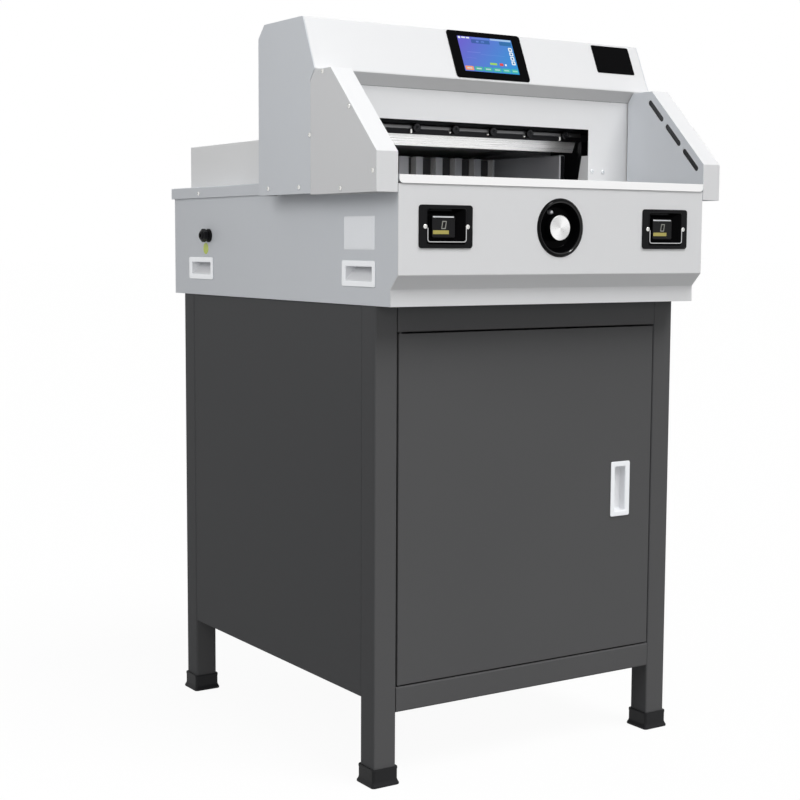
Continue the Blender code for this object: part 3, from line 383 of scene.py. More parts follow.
# A group whose middle gives the height, the grain and the fine grain of a surface
def makeEffect(name, middle):
    group = bpy.data.node_groups.new(name, "ShaderNodeTree")
    for title, (kind, value) in effectInputs.items():
        socket = group.interface.new_socket(name=title, in_out="INPUT", socket_type="NodeSocket" + kind)
        if value is not None:
            socket.default_value = value
    for title, kind in effectOutputs.items():
        group.interface.new_socket(name=title, in_out="OUTPUT", socket_type="NodeSocket" + kind)
    given = group.nodes.new("NodeGroupInput").outputs
    result = group.nodes.new("NodeGroupOutput").inputs
    height, grain, fine = middle(group, given["Place"], given["Grain Scale"], given["Stretch"])
    drift = addNoise(group, given["Place"], effectSwing["drift"], 2)
    uneven = addMath(
        group, "MULTIPLY", addSwing(group, drift, given["Unevenness"]), effectSwing["driftShare"],
    )
    speck = addSwing(group, fine, given["Unevenness"])
    tone = addMath(group, "ADD", addMath(group, "ADD", uneven, speck), 1.0)
    spread = addSwing(group, grain, effectSwing["grainRoughness"])
    wiped = addSwing(group, drift, effectSwing["driftRoughness"])
    rough = addMath(group, "ADD", addMath(group, "ADD", given["Roughness"], spread), wiped)
    feed(group, result["Colour"], addTone(group, given["Colour"], tone))
    feed(group, result["Roughness"], rough)
    feed(group, result["Height"], height)
    return group


# Scale of each effect's finer grain against its main one, and what the fine peel adds in height
fineGrain = {"peel": 3.1, "peelHeight": 0.35, "mould": 2.3, "pits": 0.6}


def powderCoat(group, place, scale, stretch):
    peel = addNoise(group, place, scale, 2)
    fine = addNoise(group, place, addMath(group, "MULTIPLY", scale, fineGrain["peel"]), 2)
    height = addMath(group, "ADD", peel, addMath(group, "MULTIPLY", fine, fineGrain["peelHeight"]))
    return height, peel, fine


def mouldGrain(group, place, scale, stretch):
    cells = addNode(group, "TexVoronoi", feature="SMOOTH_F1")
    feed(group, cells.inputs["Vector"], place)
    feed(group, cells.inputs["Scale"], scale)
    fine = addNoise(group, place, addMath(group, "MULTIPLY", scale, fineGrain["mould"]), 3)
    return addMath(group, "ADD", cells.outputs["Distance"], fine), fine, fine


def brushedMetal(group, place, scale, stretch):
    lines = addNoise(group, place, scale, 5, stretch)
    return lines, lines, lines


def castSkin(group, place, scale, stretch):
    sand = addNoise(group, place, scale, 6)
    pits = addNode(group, "TexVoronoi", feature="F1")
    feed(group, pits.inputs["Vector"], place)
    feed(group, pits.inputs["Scale"], addMath(group, "MULTIPLY", scale, fineGrain["pits"]))
    return addMath(group, "ADD", sand, pits.outputs["Distance"]), sand, pits.outputs["Distance"]


effects = {
    middle.__name__: makeEffect(middle.__name__, middle)
    for middle in (powderCoat, mouldGrain, brushedMetal, castSkin)
}
print("effects:", ", ".join(effects))

bumpStrength = 0.6


# A Principled surface whose colour, roughness and bump come from one shared effect
def makeFinish(name, effect, colour, roughness, metallic, specular, scale, depth, uneven, stretch=None):
    finish = bpy.data.materials.new(name)
    finish.use_nodes = True
    finish.diffuse_color = (*colour, 1)
    tree = finish.node_tree
    shader = tree.nodes["Principled BSDF"]
    surface = addNode(tree, "Group", node_tree=effects[effect])
    values = {
        "Place": addNode(tree, "TexCoord").outputs["Object"], "Colour": (*colour, 1),
        "Roughness": roughness, "Grain Scale": scale, "Unevenness": uneven,
    }
    if stretch:
        values["Stretch"] = stretch
    for title, value in values.items():
        feed(tree, surface.inputs[title], value)
    bump = addNode(tree, "Bump")
    feed(tree, bump.inputs["Distance"], depth * mm)
    feed(tree, bump.inputs["Strength"], bumpStrength)
    feed(tree, bump.inputs["Height"], surface.outputs["Height"])
    for title, value in (
        ("Base Color", surface.outputs["Colour"]), ("Roughness", surface.outputs["Roughness"]),
        ("Normal", bump.outputs["Normal"]), ("Metallic", metallic), ("Specular IOR Level", specular),
    ):
        feed(tree, shader.inputs[title], value)
    return finish


# Colour, roughness, metallic, specular level, grain scale, bump in mm, unevenness and stretch
finishTable = {
    "powderCoat": {
        "headPaint": ((0.79, 0.795, 0.805), 0.45, 0, 0.2, 700, 0.04, 0.012),
        # A darker copy of the head paint for the head shell's band that faces down: painted shade
        "lipShadePaint": ((0.62, 0.62, 0.625), 0.45, 0, 0.1, 700, 0.04, 0.012),
        # Bluer and darker than the head paint: partly a paint of its own, partly painted shade for the light
        # on side faces
        "sidePaint": ((0.747, 0.774, 0.811), 0.45, 0, 0.2, 700, 0.04, 0.015),
        # A lighter copy of the white paint that brightens the rear guard: painted light
        "guardPaint": ((0.95, 0.955, 0.96), 0.45, 0, 0.2, 700, 0.04, 0.012),
        "standPaint": ((0.098, 0.098, 0.100), 0.55, 0, 0.06, 800, 0.05, 0.05),
        # A darker copy of the stand paint for faces turned sideways: painted shade
        "standShadePaint": ((0.090, 0.091, 0.094), 0.55, 0, 0.04, 800, 0.05, 0.05),
        "guidePaint": ((0.54, 0.55, 0.58), 0.36, 0.3, 0.5, 800, 0.02, 0.06),
    },
    "mouldGrain": {
        "bootRubber": ((0.010, 0.010, 0.011), 0.55, 0, 0.2, 900, 0.05, 0.10),
        "whitePlastic": ((0.93, 0.95, 0.975), 0.34, 0.45, 0.8, 1500, 0.01, 0.01),
        # A duller, darker copy of the white plastic for the pockets: partly painted shade
        "pocketShadePlastic": ((0.86, 0.87, 0.89), 0.40, 0.1, 0.5, 1500, 0.01, 0.01),
        "blackPlastic": ((0.006, 0.006, 0.007), 0.36, 0, 0.1, 1600, 0.02, 0.10),
        "buttonPlastic": ((0.006, 0.006, 0.007), 0.34, 0, 0.16, 1300, 0.05, 0.12),
        "glossBlack": ((0.002, 0.002, 0.0024), 0.18, 0, 0.02, 300, 0.004, 0.10),
        "dishBlack": ((0.003, 0.003, 0.0034), 0.16, 0, 0.08, 900, 0.004, 0.10),
        "rimGloss": ((0.003, 0.003, 0.0034), 0.16, 0, 0.35, 900, 0.004, 0.10),
        "stripGlass": ((0.030, 0.031, 0.034), 0.30, 0, 0.5, 900, 0.01, 0.10),
        "stickPlastic": ((0.50, 0.025, 0.018), 0.45, 0, 0.5, 1200, 0.03, 0.06),
        "yellowFilm": ((0.46, 0.40, 0.10), 0.35, 0, 0.5, 900, 0.01, 0.08),
        "paleFilm": ((0.30, 0.30, 0.27), 0.35, 0, 0.5, 900, 0.01, 0.08),
        "earthFilm": ((0.60, 0.72, 0.10), 0.35, 0, 0.5, 900, 0.01, 0.08),
    },
    "castSkin": {
        "casting": ((0.020, 0.021, 0.024), 0.5, 0.3, 0.2, 500, 0.08, 0.15),
        "blackenedSteel": ((0.012, 0.012, 0.014), 0.30, 0.5, 0.25, 900, 0.02, 0.15),
        "boltBlack": ((0.030, 0.030, 0.033), 0.22, 0.8, 0.5, 900, 0.01, 0.15),
        # A dark sheet for the back walls of the gauge's grooves: painted shade
        "gaugeGrooveShade": ((0.045, 0.045, 0.05), 0.55, 0, 0.5, 600, 0.03, 0.10),
        "motorPaint": ((0.085, 0.095, 0.11), 0.45, 0, 0.5, 450, 0.06, 0.10),
    },
    "brushedMetal": {
        "groundSteel": ((0.98, 0.98, 0.975), 0.28, 0.65, 0.5, 260, 0.006, 0.03, (0.015, 8.0, 8.0)),
        "railSteel": ((0.17, 0.17, 0.175), 0.34, 0.9, 0.5, 300, 0.03, 0.45, (0.12, 5.0, 5.0)),
        "turnedSteel": ((0.62, 0.62, 0.63), 0.3, 1.0, 0.5, 300, 0.01, 0.08),
        "tableSteel": ((0.95, 0.95, 0.95), 0.33, 0.75, 0.5, 240, 0.008, 0.03, (0.05, 7.0, 7.0)),
        "zincPlate": ((0.78, 0.78, 0.76), 0.26, 1.0, 0.5, 500, 0.006, 0.05),
        "spunCap": ((0.90, 0.90, 0.90), 0.30, 0.9, 0.5, 500, 0.004, 0.03),
        "gaugeMetal": ((0.60, 0.61, 0.64), 0.38, 0.6, 0.5, 260, 0.02, 0.08, (7.0, 7.0, 0.08)),
        # A lighter copy of the gauge metal for the ribs' flanks: painted highlight
        "gaugeFlank": ((0.98, 0.98, 0.98), 0.40, 0, 0.5, 260, 0.02, 0.08, (7.0, 7.0, 0.08)),
        "labelFilm": ((0.88, 0.90, 0.93), 0.35, 0.25, 0.5, 260, 0.004, 0.03, (1.0, 0.05, 8.0)),
    },
}
finishes = {
    name: makeFinish(name, effect, *values)
    for effect, table in finishTable.items() for name, values in table.items()
}
clearCoat = 0.4
finishes["whitePlastic"].node_tree.nodes["Principled BSDF"].inputs["Coat Weight"].default_value = clearCoat

# The glass over a glow, and the fine dots in it
glowGlass = {"Base Color": (0.01, 0.01, 0.015, 1), "Roughness": 0.12, "Specular IOR Level": 0.06}
glowDots = {"scale": 2400.0, "swing": 0.12, "low": 0.94, "strength": 1.0}


def colourSockets(sockets):
    return [socket for socket in sockets if socket.type == "RGBA"]


# Lit glass: an even glow that runs from one colour to another along one way, over fine dots
def makeGlow(name, low, high, start, end, way):
    glow = bpy.data.materials.new(name)
    glow.use_nodes = True
    tree = glow.node_tree
    place = addNode(tree, "TexCoord").outputs["Object"]
    along = addNode(tree, "VectorMath", operation="DOT_PRODUCT")
    feed(tree, along.inputs[0], place)
    feed(tree, along.inputs[1], way)
    share = addNode(tree, "MapRange")
    for title, value in (("From Min", start), ("From Max", end), ("Value", along.outputs["Value"])):
        feed(tree, share.inputs[title], value)
    ramp = addNode(tree, "Mix", data_type="RGBA")
    feed(tree, ramp.inputs["Factor"], share.outputs[0])
    for socket, colour in zip(colourSockets(ramp.inputs), (low, high)):
        socket.default_value = (*colour, 1)
    dots = addNoise(tree, place, glowDots["scale"], 1)
    tone = addMath(tree, "ADD", addMath(tree, "MULTIPLY", dots, glowDots["swing"]), glowDots["low"])
    light = {
        "Emission Color": addTone(tree, colourSockets(ramp.outputs)[0], tone),
        "Emission Strength": glowDots["strength"], **glowGlass,
    }
    for title, value in light.items():
        feed(tree, tree.nodes["Principled BSDF"].inputs[title], value)
    return glow


print("finishes:", len(finishes))

# Solids that keep their own shape: record slot, finish, edge radius in mm and names
skins = [
    ("head_paint", "headPaint", 0.35, "head_shell"), ("head_paint", "headPaint", 0.4, "front_plate"),
    ("head_paint", "headPaint", 0.8, "wing_left wing_right"),
    ("head_paint", "headPaint", 0.3, "front_panel"),
    # The side finish is partly painted shade on faces turned sideways
    ("side_paint", "sidePaint", 0.4, "head_left_cover head_right_cover"),
    ("side_paint", "sidePaint", 0.3, "body_left_panel body_right_panel body_rear_panel"),
    ("side_paint", "sidePaint", 0.3, "rear_deck base_pan"),
    # The rear guard's lighter copy of the paint is painted light
    ("side_paint", "guardPaint", 0.4, "rear_guard"),
    # The stand's side panels take the painted-shade copy of the stand paint
    ("stand_paint", "standShadePaint", 0.3, "stand_left_panel stand_right_panel stand_rear_panel"),
    ("stand_paint", "standPaint", 0.3, "cabinet_floor cabinet_door front_rail_top front_rail_bottom"),
    ("stand_paint", "standPaint", 0.3, "leg_front_left leg_front_right leg_rear_left leg_rear_right"),
    ("table_steel", "tableSteel", 0.5, "table"), ("stick_plastic", "stickPlastic", 0.4, "cutting_stick"),
    ("ground_steel", "groundSteel", 0.15, "knife"), ("casting", "casting", 0.5, "knife_carrier clamp"),
    ("casting", "casting", 1.5, "press_beam"), ("casting", "casting", 1.0, "upright_left upright_right"),
    ("aluminium", "gaugeMetal", 0.6, "back_gauge"),
    ("aluminium", "guidePaint", 0.6, "side_guide_left side_guide_right"),
    ("ground_steel", "blackenedSteel", 0.6, "pull_rod"), ("ground_steel", "turnedSteel", 0.6, "crank_disc"),
    ("ground_steel", "turnedSteel", 0.5, "clamp_spindle gauge_screw"),
    ("motor_paint", "motorPaint", 0.8, "knife_gearmotor clamp_motor gauge_motor"),
]
coats = {
    nodeName: addSkin(nodeName, edge * mm, finishes[finishName])
    for slot, finishName, edge, nodeNames in skins for nodeName in nodeNames.split()
}

# The gauge's ribs get a painted highlight on their flanks, a lighter copy of the metal, and painted shade on
# the back walls of the grooves between them, a dark sheet
gauge = {"flankDepth": 15 * mm, "grooveFrom": 2 * mm, "grooveTo": 32 * mm}

# How far a face has to look one way to count as facing it
facing = {"square": 0.9, "leg": 0.7, "lipFront": 0.5, "lipDown": 0.4}


def coatSkins():
    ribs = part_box("back_gauge")[0].y
    coatFaces(
        coats["back_gauge"], "gaugeFlank",
        lambda centre, normal: abs(normal.x) > facing["square"]
        and centre.y < ribs + gauge["flankDepth"],
    )
    coatFaces(
        coats["back_gauge"], "gaugeGrooveShade",
        lambda centre, normal: normal.y < -facing["square"]
        and ribs + gauge["grooveFrom"] < centre.y < ribs + gauge["grooveTo"],
    )
    for side, inward in zip(sides, (1, -1)):
        guide, wing = coats["side_guide_" + side], coats["wing_" + side]
        coatFaces(guide, "casting", lambda centre, normal: normal.y < -facing["square"])
        # The wings' inner faces take the side finish: painted shade on one piece
        coatFaces(wing, "sidePaint", lambda centre, normal: normal.x * inward > facing["square"])
        for end in ("front", "rear"):
            leg = coats[f"leg_{end}_{side}"]
            # The legs' sideways faces get the painted-shade copy of the stand paint
            coatFaces(leg, "standShadePaint", lambda centre, normal: abs(normal.x) > facing["leg"])
    # The head shell's band that faces down and forward gets painted shade, a darker copy of the head paint
    coatFaces(
        coats["head_shell"], "lipShadePaint",
        lambda centre, normal: normal.y < -facing["lipFront"] and normal.z < -facing["lipDown"],
    )


coatSkins()
print("skins:", len(coats))

# The cross-head screw's dome is given by shares of its radius and height
screwHead = {
    "radius": 3.7 * mm, "height": 2.1 * mm, "slotWidth": 0.9 * mm, "slotLength": 4.2 * mm,
    "slotLevel": 1.35, "points": 24, "shading": 35,
    "dome": [(0.98, 0), (1, 0.25), (0.93, 0.55), (0.72, 0.83), (0.4, 0.97), (0.12, 1)],
}
# Cover screws as (distance behind the front panel, height), in mm as all of these are
screwPlaces = {
    "cover": [
        (152.6, 1089.7), (75.6, 1032.9), (191.6, 997.8), (9.1, 937.4), (324.9, 919.6), (225.0, 919.2),
        (99.8, 914.5),
    ],
    "plateAcross": (222.6, 247.0, -222.6, -247.0), "plateHeight": 959,
    "deck": (652, 920.3), "bezelInset": 10,
}


def makeScrew():
    radius, height = screwHead["radius"], screwHead["height"]
    dome = [(radius * wide, height * high) for wide, high in screwHead["dome"]]
    head = addTurned("screwMaster", dome, screwHead["points"])
    for across in (0, 1):
        size = [screwHead["slotWidth"], screwHead["slotWidth"], 2 * height]
        size[across] = screwHead["slotLength"]
        clearSelection()
        level = height * screwHead["slotLevel"]
        bpy.ops.mesh.primitive_cube_add(size=1, location=(0, 0, level), scale=size)
        cutOut(head)
    takeUp(head)
    bpy.ops.object.shade_smooth_by_angle(angle=math.radians(screwHead["shading"]))
    return head


def makeScrews():
    def onSides(kind, leftNode, rightNode, places):
        ends = (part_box(leftNode)[0].x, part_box(rightNode)[1].x)
        return [
            (kind, (x, frontY + back * mm, height * mm), side)
            for side, x in zip(sides, ends) for back, height in places
        ]

    plateFront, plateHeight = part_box("front_plate")[0].y, screwPlaces["plateHeight"] * mm
    places = onSides("cover", "head_left_cover", "head_right_cover", screwPlaces["cover"])
    places += [("plate", (x * mm, plateFront, plateHeight), "front") for x in screwPlaces["plateAcross"]]
    places += onSides("deck", "rear_deck", "rear_deck", [screwPlaces["deck"]])
    inset = screwPlaces["bezelInset"] * mm
    for side in sides:
        low, high, middle, size = boxOf("cut_bezel_" + side)
        places += [("bezel", (x, low.y, middle.z), "front") for x in (low.x + inset, high.x - inset)]
    master = makeScrew()
    for index, (kind, place, side) in enumerate(places):
        screw = copyTo(master, f"{kind}Screw{index + 1}", place, side)
        finishName = "whitePlastic" if kind == "plate" else "zincPlate"
        dress(screw, "machine_frame", finishes[finishName])
    bpy.data.objects.remove(master, do_unlink=True)
    print("screws:", len(places))


makeScrews()

# Cut buttons. Steps are (growth, level) in mm, and the lip's are shares of its width and rise.
# The button's are growth across in mm, share of the slopes, level in mm and share of the lean
cutBezel = {
    "corner": 2.7 * mm, "lipWidth": 1.6 * mm, "lipRise": 0.8 * mm, "lipSink": 0.2 * mm,
    "lip": [(2, 0), (1.2, 1), (0.4, 1)],
    "mouth": (69 * mm, 52 * mm), "neck": (80 * mm, 60.5 * mm), "neckDepth": 9 * mm,
    "floorDepth": 8 * mm, "floorWall": 4 * mm, "holeDepth": 24 * mm, "holeWall": 6 * mm,
    "holeFloor": 1 * mm, "holeGap": 1.2 * mm, "edge": [(0, -0.9), (-0.6, -0.3), (-1.8, 0)],
    "glossDepth": 1.5 * mm,
}
# The bead stands for a highlight on the lip of the mouth
glintBead = {
    "radius": 0.8 * mm, "points": 12, "turn": 4 * mm, "steps": 6, "riseShare": 0.6,
    "left": -33.5 * mm, "right": 35.4 * mm, "top": -2 * mm, "bottom": -22.4 * mm,
}
cutButton = {
    "corner": 2.5 * mm, "edge": 0.3 * mm, "frontDepth": 4.5 * mm, "topSlope": 3.0 * mm,
    "lowSlope": 0.8 * mm, "labelInset": 1.5 * mm, "film": 0.12 * mm,
    "steps": [(0, 0, -1.6, 0), (-0.8, 0.35, -0.5, 0.17), (-2.4, 1, 0, 0.33)],
}
# A near-white strip along the button's top edge: a painted highlight
topGlint = {
    "outline": (38 * mm, 2.4 * mm), "steps": [(0, -0.3), (0, 0.15), (-0.8, 0.45)], "corner": 0.8 * mm,
    "tilt": 30, "aside": -0.6 * mm, "sink": 0.4 * mm, "drop": 2.0 * mm,
}
bar = {"outline": (28.5 * mm, 5.6 * mm), "corner": 0.6 * mm, "height": -8.2 * mm}
mark = {
    "outline": (8 * mm, 12 * mm), "corner": 0.8 * mm, "line": 1.5 * mm, "slant": 1.6 * mm,
    "sunk": 0.02 * mm, "across": 19 * mm, "height": 2.5 * mm,
}


# A thin bright steel bead round the lower half of the mouth, carried along its U: a painted highlight along
# the lip
def makeMouthGlintBead(side, centre, level):
    left, right, top, bottom = glintBead["left"], glintBead["right"], glintBead["top"], glintBead["bottom"]
    turn, steps = glintBead["turn"], glintBead["steps"]
    clearSelection()
    bpy.ops.mesh.primitive_circle_add(
        vertices=glintBead["points"], radius=glintBead["radius"], fill_type="NGON", location=(left, top, level),
        rotation=(math.pi / 2, 0, 0),
    )
    wire = bpy.context.object
    wire.name = wire.data.name = "mouthGlintBead" + side.title()
    bpy.ops.object.transform_apply(location=True, rotation=True, scale=True)
    openMesh(wire, "FACE", "SELECT")

    def carry(*step):
        bpy.ops.mesh.extrude_region_move(TRANSFORM_OT_translate={"value": step})

    def carryRound(*middle):
        for index in range(steps):
            carry(0, 0, 0)
            bpy.ops.transform.rotate(
                value=-math.pi / 2 / steps, orient_axis="Z", orient_type="GLOBAL", center_override=middle,
            )

    carry(0, bottom + turn - top, 0)
    carryRound(left + turn, bottom + turn, level)
    carry(right - left - 2 * turn, 0, 0)
    carryRound(right - turn, bottom + turn, level)
    carry(0, top - bottom - turn, 0)
    closeSolid()
    softenEdges(wire, angle=40)
    fit(wire, centre, "front", "machine_frame", "turnedSteel")


def makeCutBezel(side, centre, buttonSize):
    nodeName = "cut_bezel_" + side
    low, high, middle, size = boxOf(nodeName)
    proud = frontY - low.y
    lipWidth, lipRise = cutBezel["lipWidth"], cutBezel["lipRise"]
    mouth, neck = cutBezel["mouth"], cutBezel["neck"]
    hole = (buttonSize.x + cutBezel["holeGap"], buttonSize.z + cutBezel["holeGap"])
    outline = (size.x, size.z)
    bezel = addMoulded(sceneName(nodeName), [
        ring(hole, cutBezel["holeWall"], -cutBezel["holeDepth"]),
        (*neck, -cutBezel["neckDepth"]), (*neck, seatGap), (*outline, seatGap),
        *ringsRound(outline, proud, *cutBezel["edge"]),
        *[ring(mouth, wide * lipWidth, proud + high * lipRise) for wide, high in cutBezel["lip"]],
        (*mouth, proud - cutBezel["lipSink"]),
        ring(hole, cutBezel["floorWall"], -cutBezel["floorDepth"]), (*hole, -cutBezel["floorDepth"]),
        (*hole, cutBezel["holeFloor"] - cutBezel["holeDepth"]),
    ], cutBezel["corner"])
    fit(softenEdges(bezel), centre, "front", "machine_frame", "blackPlastic")
    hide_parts("cut_bezel_" + side)
    coatFaces(
        bezel, "glossBlack",
        lambda place, normal: place.y > frontY - cutBezel["glossDepth"]
        and abs(place.x - centre.x) < mouth[0] / 2 and abs(place.z - centre.z) < mouth[1] / 2,
    )
    makeMouthGlintBead(side, centre, proud + lipRise * glintBead["riseShare"])


# A plain label: a slanted outline over a yellow bar
def makeLabel(side, body, centre, left, front):
    raised = front + cutButton["film"]
    strip = addMoulded(
        "buttonBar" + side.title(), [(*bar["outline"], front), (*bar["outline"], raised)], bar["corner"], 2,
    )
    place = centre + Vector((left + bar["outline"][0] / 2, 0, bar["height"]))
    fit(softenEdges(strip), place, "front", body, "yellowFilm")
    outer = mark["outline"]
    sign = addMoulded("buttonMark" + side.title(), [
        (*outer, front), (*outer, raised), ring(outer, -2 * mark["line"], raised),
        ring(outer, -2 * mark["line"], front + mark["sunk"]),
    ], mark["corner"], 2)
    openMesh(sign, "VERT")
    pickPoints(sign, lambda point: point.y > 0)
    bpy.ops.transform.translate(value=(mark["slant"], 0, 0))
    closeMesh()
    sign.data.materials.append(finishes["paleFilm"])
    halfway = (front + raised) / 2
    coatFaces(sign, "buttonPlastic", lambda place, normal: normal.z > 0.9 and place.z < halfway)
    layOn(sign, centre + Vector((left + mark["across"], 0, mark["height"])), *faces["front"])
    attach(sign, body)


def makeCutButton(side, body):
    nodeName = "cut_button_" + side
    low, high, middle, size = boxOf(nodeName)
    bezelMiddle = boxOf("cut_bezel_" + side)[2]
    centre = Vector((bezelMiddle.x, frontY, bezelMiddle.z))
    makeCutBezel(side, centre, size)
    front = -cutButton["frontDepth"]
    slopes = cutButton["topSlope"] + cutButton["lowSlope"]
    lean = cutButton["lowSlope"] - cutButton["topSlope"]
    button = addMoulded(sceneName(nodeName), [(size.x, size.z, frontY - high.y), *[
        (size.x + growth * mm, size.z - slopes * slope, front + level * mm, lean * shift)
        for growth, slope, level, shift in cutButton["steps"]
    ]], cutButton["corner"])
    softenEdges(button, cutButton["edge"])
    fit(button, centre, "front", body, "buttonPlastic")
    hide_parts("cut_button_" + side)
    # The white strip on the top edge is a painted highlight
    strip = addMoulded(
        "buttonRidge" + side.title(), ringsRound(topGlint["outline"], 0, *topGlint["steps"]), topGlint["corner"], 4,
    )
    softenEdges(strip)
    tilt = math.radians(topGlint["tilt"])
    place = centre + Vector((topGlint["aside"], topGlint["sink"] - front, size.z / 2 - topGlint["drop"]))
    layOn(strip, place, (1, 0, 0), (0, math.sin(tilt), math.cos(tilt)))
    dress(strip, body, finishes["whitePlastic"])
    makeLabel(side, body, centre, cutButton["labelInset"] - size.x / 2, front)


for side in sides:
    makeCutButton(side, side + "_button")
print("cut buttons:", len(sides))

# Handwheel. The rim's steps start at its front, the bowl's at the front panel
dish = {
    "points": 72, "back": -12 * mm, "neck": [(-4, -2.5), (-4, 0.3), (0, 0.3)],
    "rim": [
        (0, -4), (-0.5, -2.6), (-1.5, -1.2), (-3, -0.3), (-3.9, 0), (-4.6, -0.15), (-6.6, -1.4), (-7, -2.4),
    ],
    "bowl": [(-7.6, -1.5), (-9.5, -6.5), (-12.2, -11.2), (-13.6, -13.2), (-15.5, -14)],
    "hub": (6 * mm, -14 * mm), "shading": 38, "deep": 1 * mm, "glossInset": 5.6 * mm,
    "glossWidth": 0.7 * mm,
}
knob = {
    "points": 80, "flutes": (0.9 * mm, -2.3 * mm, 0.9 * mm), "shaft": 5 * mm, "floor": -13.4 * mm,
    "foot": [(-1, 0), (0, 1)], "edge": [(0, -2.4), (-0.9, -1.5), (-1, -1.2)],
    "cap": [(-0.6, -1.4), (-0.5, -0.9), (-1.5, 0), (-3, 0), (-3.4, -0.15)],
    "capMiddle": (2 * mm, -0.05 * mm), "capShading": 20,
}
dishPin = {
    "radius": 3.6 * mm, "points": 24, "place": (-11.8 * mm, 0, 24 * mm), "shading": 40,
    "steps": [(1, -14.1), (1, -9), (0.92, -7.4), (0.7, -6.2), (0.38, -5.5), (0.1, -5.3)],
}
# Turns and swing give the painted sheen, rays and ray swing the grain
capSheenAndRays = {"turns": 2.0, "swing": 0.17, "middle": 0.92, "rays": 9.0, "raySwing": 0.10}


# Spun metal with a painted sheen: a bow-tie of lighter and darker sectors round the middle of the knob, over
# fine rays of grain
def paintCapSheen(centre):
    tree = finishes["spunCap"].node_tree
    place = next(node for node in tree.nodes if node.type == "TEX_COORD").outputs["Object"]
    surface = next(node for node in tree.nodes if node.type == "GROUP")
    flat = addNode(tree, "SeparateXYZ")
    feed(tree, flat.inputs[0], place)
    across = addMath(tree, "SUBTRACT", flat.outputs["X"], centre.x)
    up = addMath(tree, "SUBTRACT", flat.outputs["Z"], centre.z)
    turn = addMath(tree, "ARCTAN2", up, across)
    sheen = addMath(tree, "SINE", addMath(tree, "MULTIPLY", turn, capSheenAndRays["turns"]), 0)
    rays = addNode(tree, "TexNoise", noise_dimensions="1D")
    feed(tree, rays.inputs["Scale"], capSheenAndRays["rays"])
    feed(tree, rays.inputs["W"], turn)
    spread = addMath(tree, "ADD", addSwing(tree, rays.outputs[0], capSheenAndRays["raySwing"]), capSheenAndRays["middle"])
    tone = addMath(tree, "ADD", addMath(tree, "MULTIPLY", sheen, capSheenAndRays["swing"]), spread)
    toned = addTone(tree, surface.outputs["Colour"], tone)
    feed(tree, tree.nodes["Principled BSDF"].inputs["Base Color"], toned)


def makeDish():
    low, high, middle, size = boxOf("handwheel_dish")
    centre = Vector((middle.x, frontY, middle.z))
    radius = size.x / 2
    bowl = addTurned("handwheelDish", [
        (radius + dish["back"], frontY - high.y), *ringsRound((radius,), 0, *dish["neck"]),
        *ringsRound((radius,), frontY - low.y, *dish["rim"]), *ringsRound((radius,), 0, *dish["bowl"]),
        dish["hub"],
    ], dish["points"])
    softenEdges(bowl, angle=dish["shading"])
    fit(bowl, centre, "front", "machine_frame", "dishBlack")
    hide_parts("handwheel_dish")
    coatFaces(bowl, "glossBlack", lambda place, normal: place.y > frontY + dish["deep"])
    gloss = radius - dish["glossInset"]
    coatFaces(
        bowl, "rimGloss",
        lambda place, normal: place.y < frontY
        and abs(math.hypot(place.x - centre.x, place.z - centre.z) - gloss) < dish["glossWidth"],
    )
    stop = addTurned(
        "dishPin", [(dishPin["radius"] * share, level * mm) for share, level in dishPin["steps"]],
        dishPin["points"],
    )
    softenEdges(stop, angle=dishPin["shading"])
    fit(stop, centre + Vector(dishPin["place"]), "front", "machine_frame", "gaugeMetal")
    return centre


def makeKnob(centre):
    low, high, middle, size = boxOf("handwheel_knob")
    radius, face, floor = size.x / 2, frontY - low.y, knob["floor"]
    bottom, top, depth = knob["flutes"]
    grip = addTurned("handwheelKnob", [
        (knob["shaft"], frontY - high.y), (knob["shaft"], floor),
        *ringsRound((radius,), floor, *knob["foot"]), *ringsRound((radius,), face, *knob["edge"]),
    ], knob["points"], flutes=(floor + bottom, face + top, depth))
    fit(softenEdges(grip), centre, "front", "handwheel", "boltBlack")
    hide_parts("handwheel_knob")
    capWidth, capLevel = knob["capMiddle"]
    cap = addTurned(
        "knobCap", [*ringsRound((radius,), face, *knob["cap"]), (capWidth, face + capLevel)], dish["points"],
    )
    softenEdges(cap, angle=knob["capShading"])
    paintCapSheen(middle)
    fit(cap, centre, "front", "handwheel", "spunCap")


makeKnob(makeDish())
print("handwheel: dish, pin, knob and cap")

# Touch display on the slope. Its tiles are given by shares of the lit picture
display = {
    "left": -72 * mm, "right": 76 * mm, "bottom": 3 * mm, "top": 89 * mm, "corner": 5 * mm,
    "cornerSteps": 8, "proud": 1.5 * mm, "back": [(-8, -15), (-8, 0.3), (0, 0.3)],
    "edge": [(0, -0.7), (-0.5, -0.2), (-1.5, 0), (-3, 0)],
}
picture = {
    "left": -53 * mm, "right": 56.5 * mm, "bottom": 15.3 * mm, "top": 79 * mm, "sunk": 0.02 * mm,
    "film": 0.06 * mm, "slant": (0.75, -0.66), "start": 0.7,
    "low": (0.135, 0.12, 0.60), "high": (0.015, 0.30, 0.66),
}
glows = {
    "headline": ((0.30, 0.34, 0.75), (0.40, 0.62, 0.85)),
    "field": ((0.05, 0.08, 0.36), (0.02, 0.16, 0.38)),
    "white": ((0.80, 0.84, 0.92), (0.80, 0.88, 0.92)),
    "haze": ((0.18, 0.17, 0.67), (0.07, 0.33, 0.71)),
    "print": ((0.62, 0.66, 0.72), (0.30, 0.66, 0.56)),
    "orange": ((0.90, 0.32, 0.14), (0.92, 0.40, 0.20)),
    "green": ((0.05, 0.42, 0.30), (0.05, 0.50, 0.42)),
    "lime": ((0.30, 0.62, 0.10), (0.36, 0.66, 0.12)),
    "red": ((0.70, 0.06, 0.05), (0.70, 0.06, 0.05)),
}
